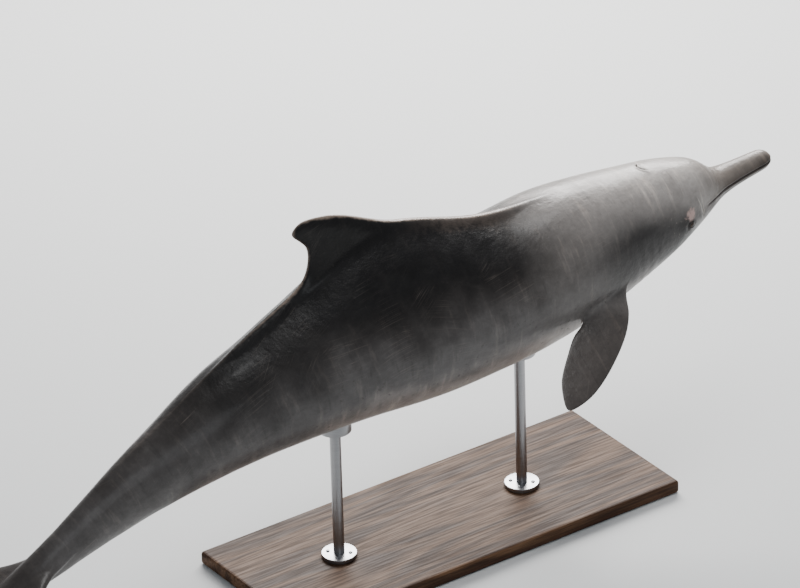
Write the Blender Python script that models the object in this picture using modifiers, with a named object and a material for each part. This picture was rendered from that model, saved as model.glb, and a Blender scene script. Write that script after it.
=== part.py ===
"""Indian Ocean humpback dolphin (Sousa plumbea): a still, life-size display model on its stand.

Metres, +Z up. The dolphin faces +X and its right side is at -Y. The origin is on the floor under
the middle of the model's box.

The body is first described straight. There s runs back from the tip of the beak, y to the left and
z up from the line of the mouth. A curved spine in the XZ plane then gives the pose of a dolphin
rolling through the surface: the beak tips up, the tail bends down and the flukes level out.
One closed shell is made and then parted by thin plane cuts into its named pieces.
"""

import math

import bmesh
import bpy
import numpy as np
from mathutils import Vector

# ---------------------------------------------------------------- driving dimensions
LENGTH = 2.50  # beak tip to fluke notch, along the spine
BELLY_CLEARANCE = 0.44  # floor to the belly at REST_STATION
REST_STATION = 0.90
GAP = 0.0003  # between neighbouring pieces

# Sections of the straight body: station s, height of the back with its hump, depth of the belly,
# half width, height of the widest line (the mouth line on the beak), and the superellipse
# exponents of the upper and the lower half.
SECTIONS = np.array([
    (0.000, 0.0235, 0.0225, 0.0265, 0.000, 2.00, 2.00),
    (0.045, 0.0270, 0.0260, 0.0305, 0.000, 2.00, 2.00),
    (0.100, 0.0300, 0.0290, 0.0345, 0.000, 2.00, 2.00),
    (0.148, 0.0335, 0.0335, 0.0410, 0.000, 2.00, 2.00),
    (0.178, 0.0430, 0.0385, 0.0490, 0.002, 2.00, 2.00),
    (0.215, 0.0780, 0.0465, 0.0665, 0.006, 2.10, 2.05),
    (0.270, 0.1090, 0.0690, 0.0910, 0.010, 2.15, 2.05),
    (0.335, 0.1290, 0.0960, 0.1110, 0.008, 2.15, 2.10),
    (0.430, 0.1475, 0.1270, 0.1330, 0.000, 2.10, 2.10),
    (0.540, 0.1620, 0.1620, 0.1550, 0.000, 2.05, 2.10),
    (0.700, 0.1720, 0.2010, 0.1840, -0.005, 1.90, 2.10),
    (0.850, 0.1800, 0.2230, 0.1970, -0.010, 1.65, 2.10),
    (0.950, 0.1990, 0.2290, 0.2010, -0.014, 1.48, 2.10),
    (1.080, 0.2450, 0.2310, 0.2010, -0.016, 1.38, 2.10),
    (1.200, 0.2770, 0.2250, 0.1940, -0.014, 1.34, 2.05),
    (1.300, 0.2650, 0.2140, 0.1830, -0.010, 1.36, 2.00),
    (1.400, 0.2170, 0.2010, 0.1690, -0.007, 1.50, 1.95),
    (1.550, 0.1710, 0.1780, 0.1440, -0.003, 1.60, 1.90),
    (1.700, 0.1370, 0.1500, 0.1150, 0.000, 1.70, 1.85),
    (1.850, 0.1070, 0.1210, 0.0880, 0.000, 1.75, 1.80),
    (2.020, 0.0840, 0.0900, 0.0590, 0.000, 1.75, 1.75),
    (2.200, 0.0560, 0.0570, 0.0400, 0.000, 1.85, 1.85),
    (2.320, 0.0360, 0.0360, 0.0330, 0.000, 2.00, 2.00),
    (2.420, 0.0170, 0.0170, 0.0300, 0.000, 2.00, 2.00),
    (2.500, 0.0030, 0.0030, 0.0300, 0.000, 2.00, 2.00),
])
NOSE = 0.032  # length over which the beak's end rounds off

# Outline of the fin on the hump: station where a line leaves the flank, station where it meets
# the fin's edge, and the edge's height above the hump. The edge goes up the front, over the
# crest, round the hooked tip and down the hollow rear.
FIN_EDGE = np.array([
    (1.120, 1.120, 0.0000),
    (1.165, 1.170, 0.0060),
    (1.210, 1.235, 0.0400),
    (1.250, 1.305, 0.0985),
    (1.282, 1.355, 0.1400),
    (1.303, 1.388, 0.1580),
    (1.318, 1.405, 0.1480),
    (1.330, 1.396, 0.1225),
    (1.345, 1.381, 0.0890),
    (1.362, 1.378, 0.0540),
    (1.382, 1.389, 0.0220),
    (1.415, 1.415, 0.0030),
    (1.450, 1.450, 0.0000),
])
FIN_SWEEP = 3.6  # how late the lines up the fin lean back
# The hump's ridge and the fin: half width, what it loses per metre of height above the hump, and how
# far in from the edge it is reached, on the hump, at the fin's front and behind its tip. Each span
# holds the stations where it sets in, is full, starts to fade and is gone.
RIDGE_HALF_WIDTH = 0.020
RIDGE_SPAN = (0.62, 0.88, 1.55, 1.80)
RIDGE_KEEL = 0.022  # how far it stands over the flanks that it joins
RIDGE_INSET = 0.040
RIDGE_REACH = (0.50, 2.00)  # stations between which the edge is followed
RIDGE_ONSET = (0.2, 0.8)  # shares of the flank's height over which the ridge sets in
RIDGE_SOFTNESS = 0.08  # rounds the hollow where the fin leaves the hump
RIDGE_BLEND = 2.2  # exponent that joins the ridge to the flank
FIN_TIP = 1.308  # line that meets the tip
FIN_THINNING = 0.075
FIN_FOOT = 0.015
FIN_INSET = 0.050
FIN_SPAN = (1.06, 1.22, 1.40, 1.50)
FIN_REAR_INSET = 0.070

# Outline of the flukes seen from above: station on the midline, station on the edge, half span.
# It runs out along the leading edge, round the tip and back along the rear edge to the notch.
FLUKE_EDGE = np.array([
    (2.200, 2.200, 0.040),
    (2.270, 2.290, 0.052),
    (2.330, 2.370, 0.110),
    (2.380, 2.450, 0.200),
    (2.410, 2.518, 0.288),
    (2.425, 2.548, 0.310),
    (2.440, 2.542, 0.278),
    (2.465, 2.525, 0.190),
    (2.485, 2.526, 0.090),
    (2.493, 2.523, 0.050),
    (2.498, 2.515, 0.020),
    (2.500, 2.500, 0.004),
])
FLUKE_ROOT_HALF_THICKNESS = 0.017
FLUKE_TIP_HALF_THICKNESS = 0.007
FLUKE_THINNING = (0.05, 0.30)  # distances from the midline between which the blade thins
FLUKE_ONSET = (2.20, 2.24)  # stations over which the blade grows out of the tail stock
FLUKE_REAR_TAPER = (2.52, 0.20, 0.25)  # station where it ends, its length, share left there
FLUKE_CROWDING = (1.0, 3.0)  # half spans, in stock widths, over which the lines crowd outwards
FLUKE_BLEND = 2.5  # exponent that joins the blade to the stock
FLUKE_SOFTNESS = 0.30  # rounds the hollow where the blade leaves the stock
FLUKE_SOFTENED = (2.20, 2.30)  # stations over which that sets in
FLUKE_CLOSING = 12  # exponent that closes the stock at the blade's edge

# Pitch of the spine in degrees, the head's end up, at stations of the body.
SPINE_PITCH = np.array([
    (0.00, 7.0),
    (0.35, 5.0),
    (0.60, 1.5),
    (0.95, 1.5),
    (1.25, 6.0),
    (1.60, 16.0),
    (1.95, 23.0),
    (2.20, 25.0),
    (2.50, 16.0),
    (2.70, 13.0),
])

# Shell grid: runs of columns (from, to, count) along the body, and rows on each half.
COLUMN_RUNS = (
    (0.032, 0.150, 4),
    (0.150, 0.340, 11),
    (0.340, 0.860, 8),
    (0.860, 1.200, 7),
    (1.200, 1.290, 5),
    (1.290, 1.400, 13),
    (1.400, 1.480, 4),
    (1.480, 2.200, 10),
    (2.200, 2.400, 6),
    (2.400, 2.500, 9),
)
NOSE_COLUMNS = 4
ROWS = 14
ROW_CROWDING = 0.45  # of rows at the foot of the fin
HUMP_SPAN = (1.05, 1.20, 1.42, 1.55)

# Where the body is parted.
BEAK_END = 0.172
HEAD_END = 0.460
NECK_END = 0.550
CHEST_END = 0.880
TRUNK_END = 1.360
LOIN_END = 1.740
STOCK_END = 2.262
MELON_PLANE = ((0.172, 0.010), (0.365, 0.136))  # two points (s, z) of the cut
HUMP_PLANE_DEPTH = 0.030
FIN_PLANE = ((1.215, 0.006), (1.392, 0.004))  # (s, height above the hump)
FLUKE_ROOT_HALF_WIDTH = 0.036

# Eye
EYE_STATION = 0.338
EYE_HEIGHT = -0.004
EYE_RADIUS = 0.0140
EYE_DEPTH = 0.0116  # centre under the skin
ORBIT_BULGE = 0.005
ORBIT_RADIUS = 0.030

# Blowhole: a crescent across the midline, its horns forward.
BLOWHOLE_STATION = 0.408
BLOWHOLE_RADIUS = 0.024
BLOWHOLE_WIDTH = 0.006
BLOWHOLE_HALF_ANGLE = math.radians(62)
BLOWHOLE_DEPTH = 0.014
BLOWHOLE_SUNK = 0.002

# Flipper: a flat blade whose plane holds the body's axis and a direction out and down.
FLIPPER_ROOT = (0.640, 0.150, -0.098)  # s, y, z of the middle of the root
FLIPPER_DROOP = math.radians(37)
# Share of the way to the tip; front edge, then rear edge, each as distance back and out from the
# root; and the thickness at mid chord.
FLIPPER_EDGES = np.array([
    (0.00, -0.078, -0.022, 0.068, -0.022, 0.0410),
    (0.15, -0.052, 0.035, 0.077, 0.018, 0.0240),
    (0.35, -0.006, 0.096, 0.120, 0.046, 0.0190),
    (0.55, 0.060, 0.150, 0.165, 0.085, 0.0150),
    (0.75, 0.135, 0.197, 0.210, 0.130, 0.0115),
    (0.90, 0.198, 0.226, 0.243, 0.172, 0.0080),
    (1.00, 0.232, 0.240, 0.266, 0.206, 0.0036),
])
FLIPPER_FORWARD = 0.39  # how far the thickness leans to the front edge
FLIPPER_TIP = 0.78  # share of the way from which the tip rounds off
FLIPPER_END = 0.998  # share where the tip closes
FLIPPER_RINGS = 13
FLIPPER_SIDES = 16

# Stand
BASE_SIZE = (1.16, 0.46, 0.035)
BASE_BEVEL = 0.008
BASE_CENTRE_X = 0.19
ROD_RADIUS = 0.014
ROD_STATIONS = {"front": 0.800, "rear": 1.400}
FLANGE_RADIUS = 0.045
FLANGE_HEIGHT = 0.010
CUP_RADIUS = 0.042
CUP_DEPTH = 0.030


# ---------------------------------------------------------------- curves
def smooth_slopes(x, y, ends=None):
    """Slopes of the cubic spline through the points: natural, or with these slopes at its ends."""
    h = np.diff(x)
    rise = (np.diff(y, axis=0).T / h).T
    count = len(x)
    system = np.zeros((count, count))
    right = np.zeros_like(y)
    if ends is None:
        system[0, :2] = 2, 1
        right[0] = 3 * rise[0]
        system[-1, -2:] = 1, 2
        right[-1] = 3 * rise[-1]
    else:
        system[[0, -1], [0, -1]] = 1
        right[[0, -1]] = ends
    for k in range(1, count - 1):
        system[k, k - 1:k + 2] = h[k], 2 * (h[k - 1] + h[k]), h[k - 1]
        right[k] = 3 * (h[k] * rise[k - 1] + h[k - 1] * rise[k])
    return np.linalg.solve(system, right)


def tight_slopes(x, y):
    """Slopes that never overshoot the points, for an outline that turns back on itself."""
    h = np.diff(x)
    rise = (np.diff(y, axis=0).T / h).T
    before, after = rise[:-1], rise[1:]
    mean = ((before.T * h[1:] + after.T * h[:-1]) / (h[1:] + h[:-1])).T
    limit = 3 * np.minimum(np.abs(before), np.abs(after))
    slopes = np.zeros_like(y)
    slopes[1:-1] = np.where(before * after > 0, np.sign(mean) * np.minimum(np.abs(mean), limit), 0)
    return slopes


def read_curve(at, x, y, slopes):
    """The columns of y at the places at, from cubic pieces between the points."""
    k = np.clip(np.searchsorted(x, at, side="right") - 1, 0, len(x) - 2)
    h = x[k + 1] - x[k]
    t = np.clip((at - x[k]) / h, 0, 1)
    start = 2 * t**3 - 3 * t**2 + 1
    leave = (t**3 - 2 * t**2 + t) * h
    arrive = (t**3 - t**2) * h
    return [
        start * y[k, i] + leave * slopes[k, i] + (1 - start) * y[k + 1, i] + arrive * slopes[k + 1, i]
        for i in range(y.shape[1])
    ]


def ease(value, low, high):
    t = np.clip((value - low) / (high - low), 0, 1)
    return t * t * (3 - 2 * t)


def over(s, span):
    """1 in the middle of a span of stations, easing to 0 at its two ends."""
    return ease(s, span[0], span[1]) * (1 - ease(s, span[2], span[3]))


SECTION_SLOPES = smooth_slopes(SECTIONS[:, 0], SECTIONS[:, 1:])
FIN_SLOPES = smooth_slopes(FIN_EDGE[:, 0], FIN_EDGE[:, 1:], ends=(1, 0))
FLUKE_SLOPES = tight_slopes(FLUKE_EDGE[:, 0], FLUKE_EDGE[:, 1:])
PITCH_SLOPES = smooth_slopes(SPINE_PITCH[:, 0], SPINE_PITCH[:, 1:])
FLIPPER_SLOPES = smooth_slopes(FLIPPER_EDGES[:, 0], FLIPPER_EDGES[:, 1:])


# ---------------------------------------------------------------- the straight body
def section(s):
    """The six columns of SECTIONS at stations s."""
    at = np.clip(s, 0, LENGTH)
    return read_curve(at, SECTIONS[:, 0], SECTIONS[:, 1:], SECTION_SLOPES)


def ridge(s):
    """Station and height of the dorsal edge, fin included, for flank stations s."""
    inside = (s > FIN_EDGE[0, 0]) & (s < FIN_EDGE[-1, 0])
    along, rise = read_curve(s, FIN_EDGE[:, 0], FIN_EDGE[:, 1:], FIN_SLOPES)
    along = np.where(inside, along, s)
    return along, section(along)[0] + np.where(inside, rise, 0.0)


def dorsal_edge():
    """Points (s, z) along the dorsal edge up to the fin's tip, and from there on."""
    start, end = RIDGE_REACH
    root, foot = FIN_EDGE[[0, -1], 0]
    front = np.concatenate([np.linspace(start, root, 16)[:-1], np.linspace(root, FIN_TIP, 81)])
    rear = np.concatenate([np.linspace(FIN_TIP, foot, 81), np.linspace(foot, end, 16)[1:]])
    return [np.stack(ridge(run), axis=1) for run in (front, rear)]


EDGE_FRONT, EDGE_REAR = dorsal_edge()


def depth_from(edge, along, z):
    """How far points (along, z) lie from an edge: smooth also where two parts of it are near."""
    pull = 0
    for start, end in zip(edge[:-1], edge[1:]):
        length = math.hypot(*(end - start))
        over_s, over_z = (end - start) / length
        out_s, out_z = along - start[0], z - start[1]
        passed = out_s * over_s + out_z * over_z
        square = np.maximum(np.abs(out_z * over_s - out_s * over_z), 0.00001)
        left = passed - length
        pull += (passed / np.hypot(square, passed) - left / np.hypot(square, left)) / square**2
    return np.sqrt(2 / pull)


def filled(depth, inset):
    """Share of the full half width that is reached at a depth from the edge."""
    return np.sqrt(1 - (1 - np.clip(depth / (inset + 1e-9), 0, 1)) ** 3)


def body_point(s, angle):
    """Point (s, y, z) on the left half of the trunk; angle goes from 0 on the back to pi on the belly."""
    _, bottom, width, widest, _, power = section(s)
    c = np.cos(angle)
    # Upper half: lines that fan from the widest line to the dorsal edge.
    edge_s, edge_z = ridge(s)
    s_up = s + (edge_s - s) * np.abs(c) ** FIN_SWEEP
    z_up = widest + (edge_z - widest) * c
    top_there, _, width_there, widest_there, power_there, _ = section(s_up)
    hump = over(s_up, RIDGE_SPAN)
    level = np.maximum((z_up - widest_there) / (top_there - RIDGE_KEEL * hump**2 - widest_there), 0)
    high = hump * ease(level, *RIDGE_ONSET)
    free = 1 - level**power_there
    free = (free + np.hypot(free, RIDGE_SOFTNESS * high)) / 2
    flank = width_there * free ** (1 / power_there)
    # The hump's crest, which thins into the fin.
    rise = z_up - top_there
    rise = (rise + np.hypot(rise, FIN_FOOT)) / 2
    half = np.maximum(RIDGE_HALF_WIDTH - FIN_THINNING * rise, 0) * high
    full = (flank**RIDGE_BLEND + half**RIDGE_BLEND) ** (1 / RIDGE_BLEND)
    # Its rounded edge.
    fin = over(s_up, FIN_SPAN)
    from_edge = np.hypot(edge_s - s_up, edge_z - z_up)
    closing = np.sqrt((from_edge + 1e-9) / np.hypot(from_edge + 1e-9, 0.0002 * hump))
    front_inset = hump * (RIDGE_INSET + (FIN_INSET - RIDGE_INSET) * fin)
    rear_inset = hump * (RIDGE_INSET + (FIN_REAR_INSET - RIDGE_INSET) * fin)
    front = filled(depth_from(EDGE_FRONT, s_up, z_up), front_inset)
    rear = filled(depth_from(EDGE_REAR, s_up, z_up), rear_inset)
    y_up = full * front * rear * closing
    # Lower half: plain sections.
    y_down = width * np.clip(1 - np.abs(c) ** power, 0, 1) ** (1 / power)
    z_down = widest + (bottom + widest) * c
    upper = c >= 0
    nose = np.sqrt(np.clip(1 - np.clip(1 - s / NOSE, 0, 1) ** 2, 0, 1))
    y = np.where(upper, y_up, y_down) * nose
    z = np.where(upper, z_up, z_down) * nose
    orbit = ORBIT_BULGE * np.exp(-((s - EYE_STATION) ** 2 + (z - EYE_HEIGHT) ** 2) / ORBIT_RADIUS**2)
    return np.where(upper, s_up, s), y + orbit * nose * (np.sin(angle) > 0.001), z


def fluke_point(s, angle):
    """Point (s, y, z) on the left half of the tail end, on lines that fan out to the fluke's edge."""
    edge_s, edge_y = read_curve(s, FLUKE_EDGE[:, 0], FLUKE_EDGE[:, 1:], FLUKE_SLOPES)
    crowding = 1 + ease(edge_y / section(s)[2], *FLUKE_CROWDING)
    share = np.abs(np.sin(angle)) ** crowding
    along = s + (edge_s - s) * share
    y = edge_y * share
    top, bottom, width, _, power, _ = section(along)
    height = np.where(np.cos(angle) >= 0, top, bottom)
    soft = ease(s, *FLUKE_SOFTENED)
    free = 1 - (y / width) ** power
    free = (free + np.hypot(free, FLUKE_SOFTNESS * soft)) / 2
    closing = np.sqrt(np.clip(1 - share**FLUKE_CLOSING, 0, 1))
    stock = height * free ** (1 / power) * (1 + soft * (closing - 1))
    root, tip = FLUKE_ROOT_HALF_THICKNESS, FLUKE_TIP_HALF_THICKNESS
    rounded = np.clip(1 - share**3, 0, 1) ** 0.6
    end, taper, left = FLUKE_REAR_TAPER
    thinned = left + (1 - left) * np.clip((end - along) / taper, 0, 1)
    blade = (root + (tip - root) * ease(y, *FLUKE_THINNING)) * rounded * thinned * ease(s, *FLUKE_ONSET)
    z = (stock**FLUKE_BLEND + blade**FLUKE_BLEND) ** (1 / FLUKE_BLEND)
    return along, y, np.where(np.cos(angle) >= 0, z, -z)


def skin_point(s, angle):
    """Point (s, y, z) of the left half of the whole straight animal, without its flippers."""
    tail = s > FLUKE_EDGE[0, 0]
    return [np.where(tail, t, b) for t, b in zip(fluke_point(s, angle), body_point(s, angle))]


# ---------------------------------------------------------------- the pose
SPINE_S = np.linspace(0, 2.7, 1351)


def spine():
    """Pitch, x and z of the spine at SPINE_S, with the beak's tip at x = z = 0."""
    pitch = np.radians(read_curve(SPINE_S, SPINE_PITCH[:, 0], SPINE_PITCH[:, 1:], PITCH_SLOPES)[0])
    middle = (pitch[1:] + pitch[:-1]) / 2
    step = np.diff(SPINE_S)
    x = np.concatenate([[0], np.cumsum(-np.cos(middle) * step)])
    z = np.concatenate([[0], np.cumsum(-np.sin(middle) * step)])
    return pitch, x, z


PITCH, SPINE_X, SPINE_Z = spine()


def posed(s, y, z):
    """World points of straight points (s, y, z), before the model is set on its stand."""
    pitch = np.interp(s, SPINE_S, PITCH)
    x = np.interp(s, SPINE_S, SPINE_X) - np.sin(pitch) * z
    up = np.interp(s, SPINE_S, SPINE_Z) + np.cos(pitch) * z
    return np.stack([x, y + 0 * x, up], axis=-1)


def rest_shift():
    """Sets the posed animal over the origin: its box is centred in X and its belly clears the floor."""
    s, angle = np.meshgrid(columns(), np.linspace(0, np.pi, 61), indexing="ij")
    points = posed(*skin_point(s, angle)).reshape(-1, 3)
    chest = posed(REST_STATION, 0, -section(REST_STATION)[1])
    return np.array([-(points[:, 0].min() + points[:, 0].max()) / 2, 0, BELLY_CLEARANCE - chest[2]])


def columns():
    """Stations of the shell's columns, crowded at the tip of the beak and at the fin."""
    turn = np.linspace(0, np.pi / 2, NOSE_COLUMNS + 1)[:-1]
    runs = [NOSE * (1 - np.cos(turn))]
    for start, end, count in COLUMN_RUNS:
        runs.append(np.linspace(start, end, count, endpoint=False))
    return np.concatenate(runs + [[LENGTH]])


SHIFT = rest_shift()


def placed(s, y, z):
    return posed(s, y, z) + SHIFT


def station_plane(s):
    """A point of the cross plane at station s and its normal, which points to the tail."""
    pitch = float(np.interp(s, SPINE_S, PITCH))
    return Vector(placed(s, 0.0, 0.0)), Vector((-math.cos(pitch), 0, -math.sin(pitch)))


def sloping_plane(first, second):
    """The plane across the body through two points (s, z) of its middle, front one first, normal up."""
    a = Vector(placed(first[0], 0.0, first[1]))
    b = Vector(placed(second[0], 0.0, second[1]))
    return a, Vector((0, 1, 0)).cross(b - a).normalized()


def reverse(plane):
    return plane[0], -plane[1]


def side_plane(y):
    """The upright plane at y, its normal away from the middle."""
    return Vector((0, y, 0)), Vector((0, math.copysign(1, y), 0))


# ---------------------------------------------------------------- meshes
def tidy(mesh):
    """Merges double points and turns every face out."""
    shape = bmesh.new()
    shape.from_mesh(mesh)
    bmesh.ops.remove_doubles(shape, verts=shape.verts, dist=0.00002)
    bmesh.ops.recalc_face_normals(shape, faces=shape.faces)
    shape.to_mesh(mesh)
    shape.free()


def ring_mesh(name, rings):
    """A closed mesh over a stack of rings of points, with a flat cap at each end."""
    count = len(rings[0])
    points = [tuple(point) for ring in rings for point in ring]
    faces = []
    for k in range(len(rings) - 1):
        for j in range(count):
            a, b = k * count + j, k * count + (j + 1) % count
            faces.append((a, b, b + count, a + count))
    faces.append(tuple(range(count)))
    faces.append(tuple(range(len(points) - count, len(points))))
    mesh = bpy.data.meshes.new(name)
    mesh.from_pydata(points, [], faces)
    tidy(mesh)
    return mesh


def shell_mesh():
    """The whole animal without its flippers as one closed shell."""
    share = np.linspace(0, 1, ROWS + 1)
    rings = []
    for s in columns():
        crowding = ROW_CROWDING * over(s, HUMP_SPAN)
        angle = np.pi * (share + crowding * np.sin(4 * np.pi * share) / (4 * np.pi))
        along, y, z = skin_point(np.full_like(angle, s), angle)
        left = placed(along, y, z)
        right = placed(along, -y, z)[-2:0:-1]
        rings.append(np.concatenate([left, right]))
    return ring_mesh("shell", rings)


def parted(shell, planes):
    """The part of the shell in front of every plane (point, normal), each cut half a gap inside."""
    shape = bmesh.new()
    shape.from_mesh(shell)
    for point, normal in planes:
        cut = bmesh.ops.bisect_plane(
            shape,
            geom=shape.verts[:] + shape.edges[:] + shape.faces[:],
            dist=0.00001,
            plane_co=point + normal * GAP / 2,
            plane_no=normal,
            clear_inner=True,
        )
        rim = [item for item in cut["geom_cut"] if isinstance(item, bmesh.types.BMEdge)]
        bmesh.ops.holes_fill(shape, edges=rim)
    bmesh.ops.remove_doubles(shape, verts=shape.verts, dist=0.00002)
    bmesh.ops.recalc_face_normals(shape, faces=shape.faces)
    mesh = bpy.data.meshes.new("part")
    shape.to_mesh(mesh)
    shape.free()
    return mesh


def add_object(name, mesh, material, collection):
    mesh.name = name
    mesh.materials.clear()
    mesh.materials.append(material)
    mesh.shade_smooth()
    mesh.set_sharp_from_angle(angle=math.radians(35))
    obj = bpy.data.objects.new(name, mesh)
    collection.objects.link(obj)
    return obj


def add_cutter(name, mesh, collection):
    obj = bpy.data.objects.new(name, mesh)
    obj.hide_render = True
    obj.display_type = "WIRE"
    collection.objects.link(obj)
    return obj


def cut_with(obj, cutter, label):
    boolean = obj.modifiers.new(label, "BOOLEAN")
    boolean.operation = "DIFFERENCE"
    boolean.solver = "EXACT"
    boolean.object = cutter


def swollen(mesh, by):
    """A copy of the mesh with every point moved out along its normal."""
    copy = mesh.copy()
    shape = bmesh.new()
    shape.from_mesh(copy)
    shape.normal_update()
    moves = [vert.normal * by * max(vert.calc_shell_factor(), 1.0) for vert in shape.verts]
    for vert, move in zip(shape.verts, moves):
        vert.co += move
    shape.to_mesh(copy)
    shape.free()
    return copy


# ---------------------------------------------------------------- materials
def finish(name, colour, roughness, metallic=0.0):
    material = bpy.data.materials.new(name)
    material.use_nodes = True
    shader = material.node_tree.nodes["Principled BSDF"]
    shader.inputs["Base Color"].default_value = (*colour, 1.0)
    shader.inputs["Roughness"].default_value = roughness
    shader.inputs["Metallic"].default_value = metallic
    return material


# ---------------------------------------------------------------- body pieces
def body_planes():
    """Node name to the planes that bound it."""
    beak, head, neck, chest, trunk, loin, stock = (
        station_plane(s)
        for s in (BEAK_END, HEAD_END, NECK_END, CHEST_END, TRUNK_END, LOIN_END, STOCK_END)
    )
    mouth = sloping_plane((0.0, 0.0), (BEAK_END, 0.0))
    melon = sloping_plane(*MELON_PLANE)
    depth = HUMP_PLANE_DEPTH
    hump = sloping_plane(
        (CHEST_END, float(section(CHEST_END)[0]) - depth), (LOIN_END, float(section(LOIN_END)[0]) - depth)
    )
    fin = sloping_plane(*((s, float(section(s)[0]) + rise) for s, rise in FIN_PLANE))
    right, left = side_plane(-FLUKE_ROOT_HALF_WIDTH), side_plane(FLUKE_ROOT_HALF_WIDTH)
    return {
        "beak_upper": [reverse(beak), mouth],
        "beak_lower": [reverse(beak), reverse(mouth)],
        "melon": [beak, reverse(head), melon],
        "head": [beak, reverse(head), reverse(melon)],
        "neck": [head, reverse(neck)],
        "chest": [neck, reverse(chest)],
        "trunk": [chest, reverse(trunk), reverse(hump)],
        "hump": [chest, reverse(loin), hump, reverse(fin)],
        "dorsal_fin": [fin],
        "loin": [trunk, reverse(loin), reverse(hump)],
        "tail_stock": [loin, reverse(stock)],
        "fluke_root": [stock, reverse(right), reverse(left)],
        "fluke_right": [stock, right],
        "fluke_left": [stock, left],
    }


def eye_centre(side):
    """Centre of an eye, side +1 left and -1 right."""
    angle = np.linspace(1.2, 1.9, 141)
    along, y, z = body_point(np.full_like(angle, EYE_STATION), angle)
    nearest = np.argmin(np.abs(z - EYE_HEIGHT))
    return Vector(placed(along[nearest], side * (y[nearest] - EYE_DEPTH), z[nearest]))


def ball_mesh(name, centre, radius):
    shape = bmesh.new()
    bmesh.ops.create_uvsphere(shape, u_segments=18, v_segments=11, radius=radius)
    bmesh.ops.translate(shape, verts=shape.verts, vec=centre)
    mesh = bpy.data.meshes.new(name)
    shape.to_mesh(mesh)
    shape.free()
    return mesh


def crescent_mesh(name, shrink, top, bottom):
    """The blowhole's crescent as a short prism, between two heights over the skin."""
    inner = BLOWHOLE_RADIUS - BLOWHOLE_WIDTH / 2 + shrink
    outer = BLOWHOLE_RADIUS + BLOWHOLE_WIDTH / 2 - shrink
    half = BLOWHOLE_HALF_ANGLE - shrink / BLOWHOLE_RADIUS
    turns = np.linspace(-half, half, 11)
    # The arc's back is at the blowhole's station and its horns point to the beak.
    arc = [(BLOWHOLE_STATION - BLOWHOLE_RADIUS + outer * math.cos(t), outer * math.sin(t)) for t in turns]
    centre = BLOWHOLE_STATION - BLOWHOLE_RADIUS
    arc += [(centre + inner * math.cos(t), inner * math.sin(t)) for t in turns[::-1]]
    back = float(section(BLOWHOLE_STATION)[0])
    return ring_mesh(name, [[placed(s, y, back + level) for s, y in arc] for level in (bottom, top)])


# ---------------------------------------------------------------- flippers
def flipper_ring(share, side):
    """The closed section of the flipper at a share of the way to its tip."""
    front_s, front_out, rear_s, rear_out, thick = read_curve(
        share, FLIPPER_EDGES[:, 0], FLIPPER_EDGES[:, 1:], FLIPPER_SLOPES
    )
    out = Vector((0, math.cos(FLIPPER_DROOP), -math.sin(FLIPPER_DROOP)))
    normal = Vector((0, math.sin(FLIPPER_DROOP), math.cos(FLIPPER_DROOP)))
    root = Vector(FLIPPER_ROOT)
    front = root + Vector((front_s, 0, 0)) + out * front_out
    rear = root + Vector((rear_s, 0, 0)) + out * rear_out
    rounding = math.sqrt(1 - max((share - FLIPPER_TIP) / (1 - FLIPPER_TIP), 0) ** 2)
    ring = []
    for k in range(FLIPPER_SIDES):
        turn = 2 * math.pi * k / FLIPPER_SIDES
        depth = rounding * math.sin(turn) * (1 + FLIPPER_FORWARD * math.cos(turn)) * thick / 2
        place = front.lerp(rear, (1 - rounding * math.cos(turn)) / 2) + normal * depth
        ring.append(placed(place.x, side * place.y, place.z))
    return ring


def flipper_mesh(name, side):
    shares = FLIPPER_END * np.sin(np.linspace(0, np.pi / 2, FLIPPER_RINGS))
    return ring_mesh(name, [flipper_ring(float(share), side) for share in shares])


# ---------------------------------------------------------------- stand
def rod_foot(station):
    """Height of the belly and place in X over which a rod stands."""
    belly = placed(station, 0.0, -float(section(station)[1]))
    return float(belly[0]), float(belly[2])


def upright(name, radius, low, high, x, segments=24):
    shape = bmesh.new()
    bmesh.ops.create_cone(
        shape, cap_ends=True, segments=segments, radius1=radius, radius2=radius, depth=high - low
    )
    bmesh.ops.translate(shape, verts=shape.verts, vec=(x, 0, (low + high) / 2))
    mesh = bpy.data.meshes.new(name)
    shape.to_mesh(mesh)
    shape.free()
    return mesh


def base_mesh(name):
    shape = bmesh.new()
    bmesh.ops.create_cube(shape, size=1)
    bmesh.ops.scale(shape, verts=shape.verts, vec=BASE_SIZE)
    bmesh.ops.translate(shape, verts=shape.verts, vec=(BASE_CENTRE_X, 0, BASE_SIZE[2] / 2))
    mesh = bpy.data.meshes.new(name)
    shape.to_mesh(mesh)
    shape.free()
    return mesh


def build_stand(collection, belly_cutter, wood, steel):
    base = add_object("stand_base", base_mesh("stand_base"), wood, collection)
    bevel = base.modifiers.new("edge", "BEVEL")
    bevel.width = BASE_BEVEL
    bevel.segments = 3
    top = BASE_SIZE[2]
    for place, station in ROD_STATIONS.items():
        x, belly = rod_foot(station)
        low_cup = belly - CUP_DEPTH
        flange_top = top + GAP + FLANGE_HEIGHT
        flange = upright("flange", FLANGE_RADIUS, top + GAP, flange_top, x, 32)
        add_object(f"stand_flange_{place}", flange, steel, collection)
        rod = upright("rod", ROD_RADIUS, flange_top + GAP, low_cup - GAP, x)
        add_object(f"stand_rod_{place}", rod, steel, collection)
        cup = upright("cup", CUP_RADIUS, low_cup, belly + CUP_DEPTH / 2, x, 32)
        cup = add_object(f"stand_cup_{place}", cup, steel, collection)
        cut_with(cup, belly_cutter, "belly")


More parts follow.
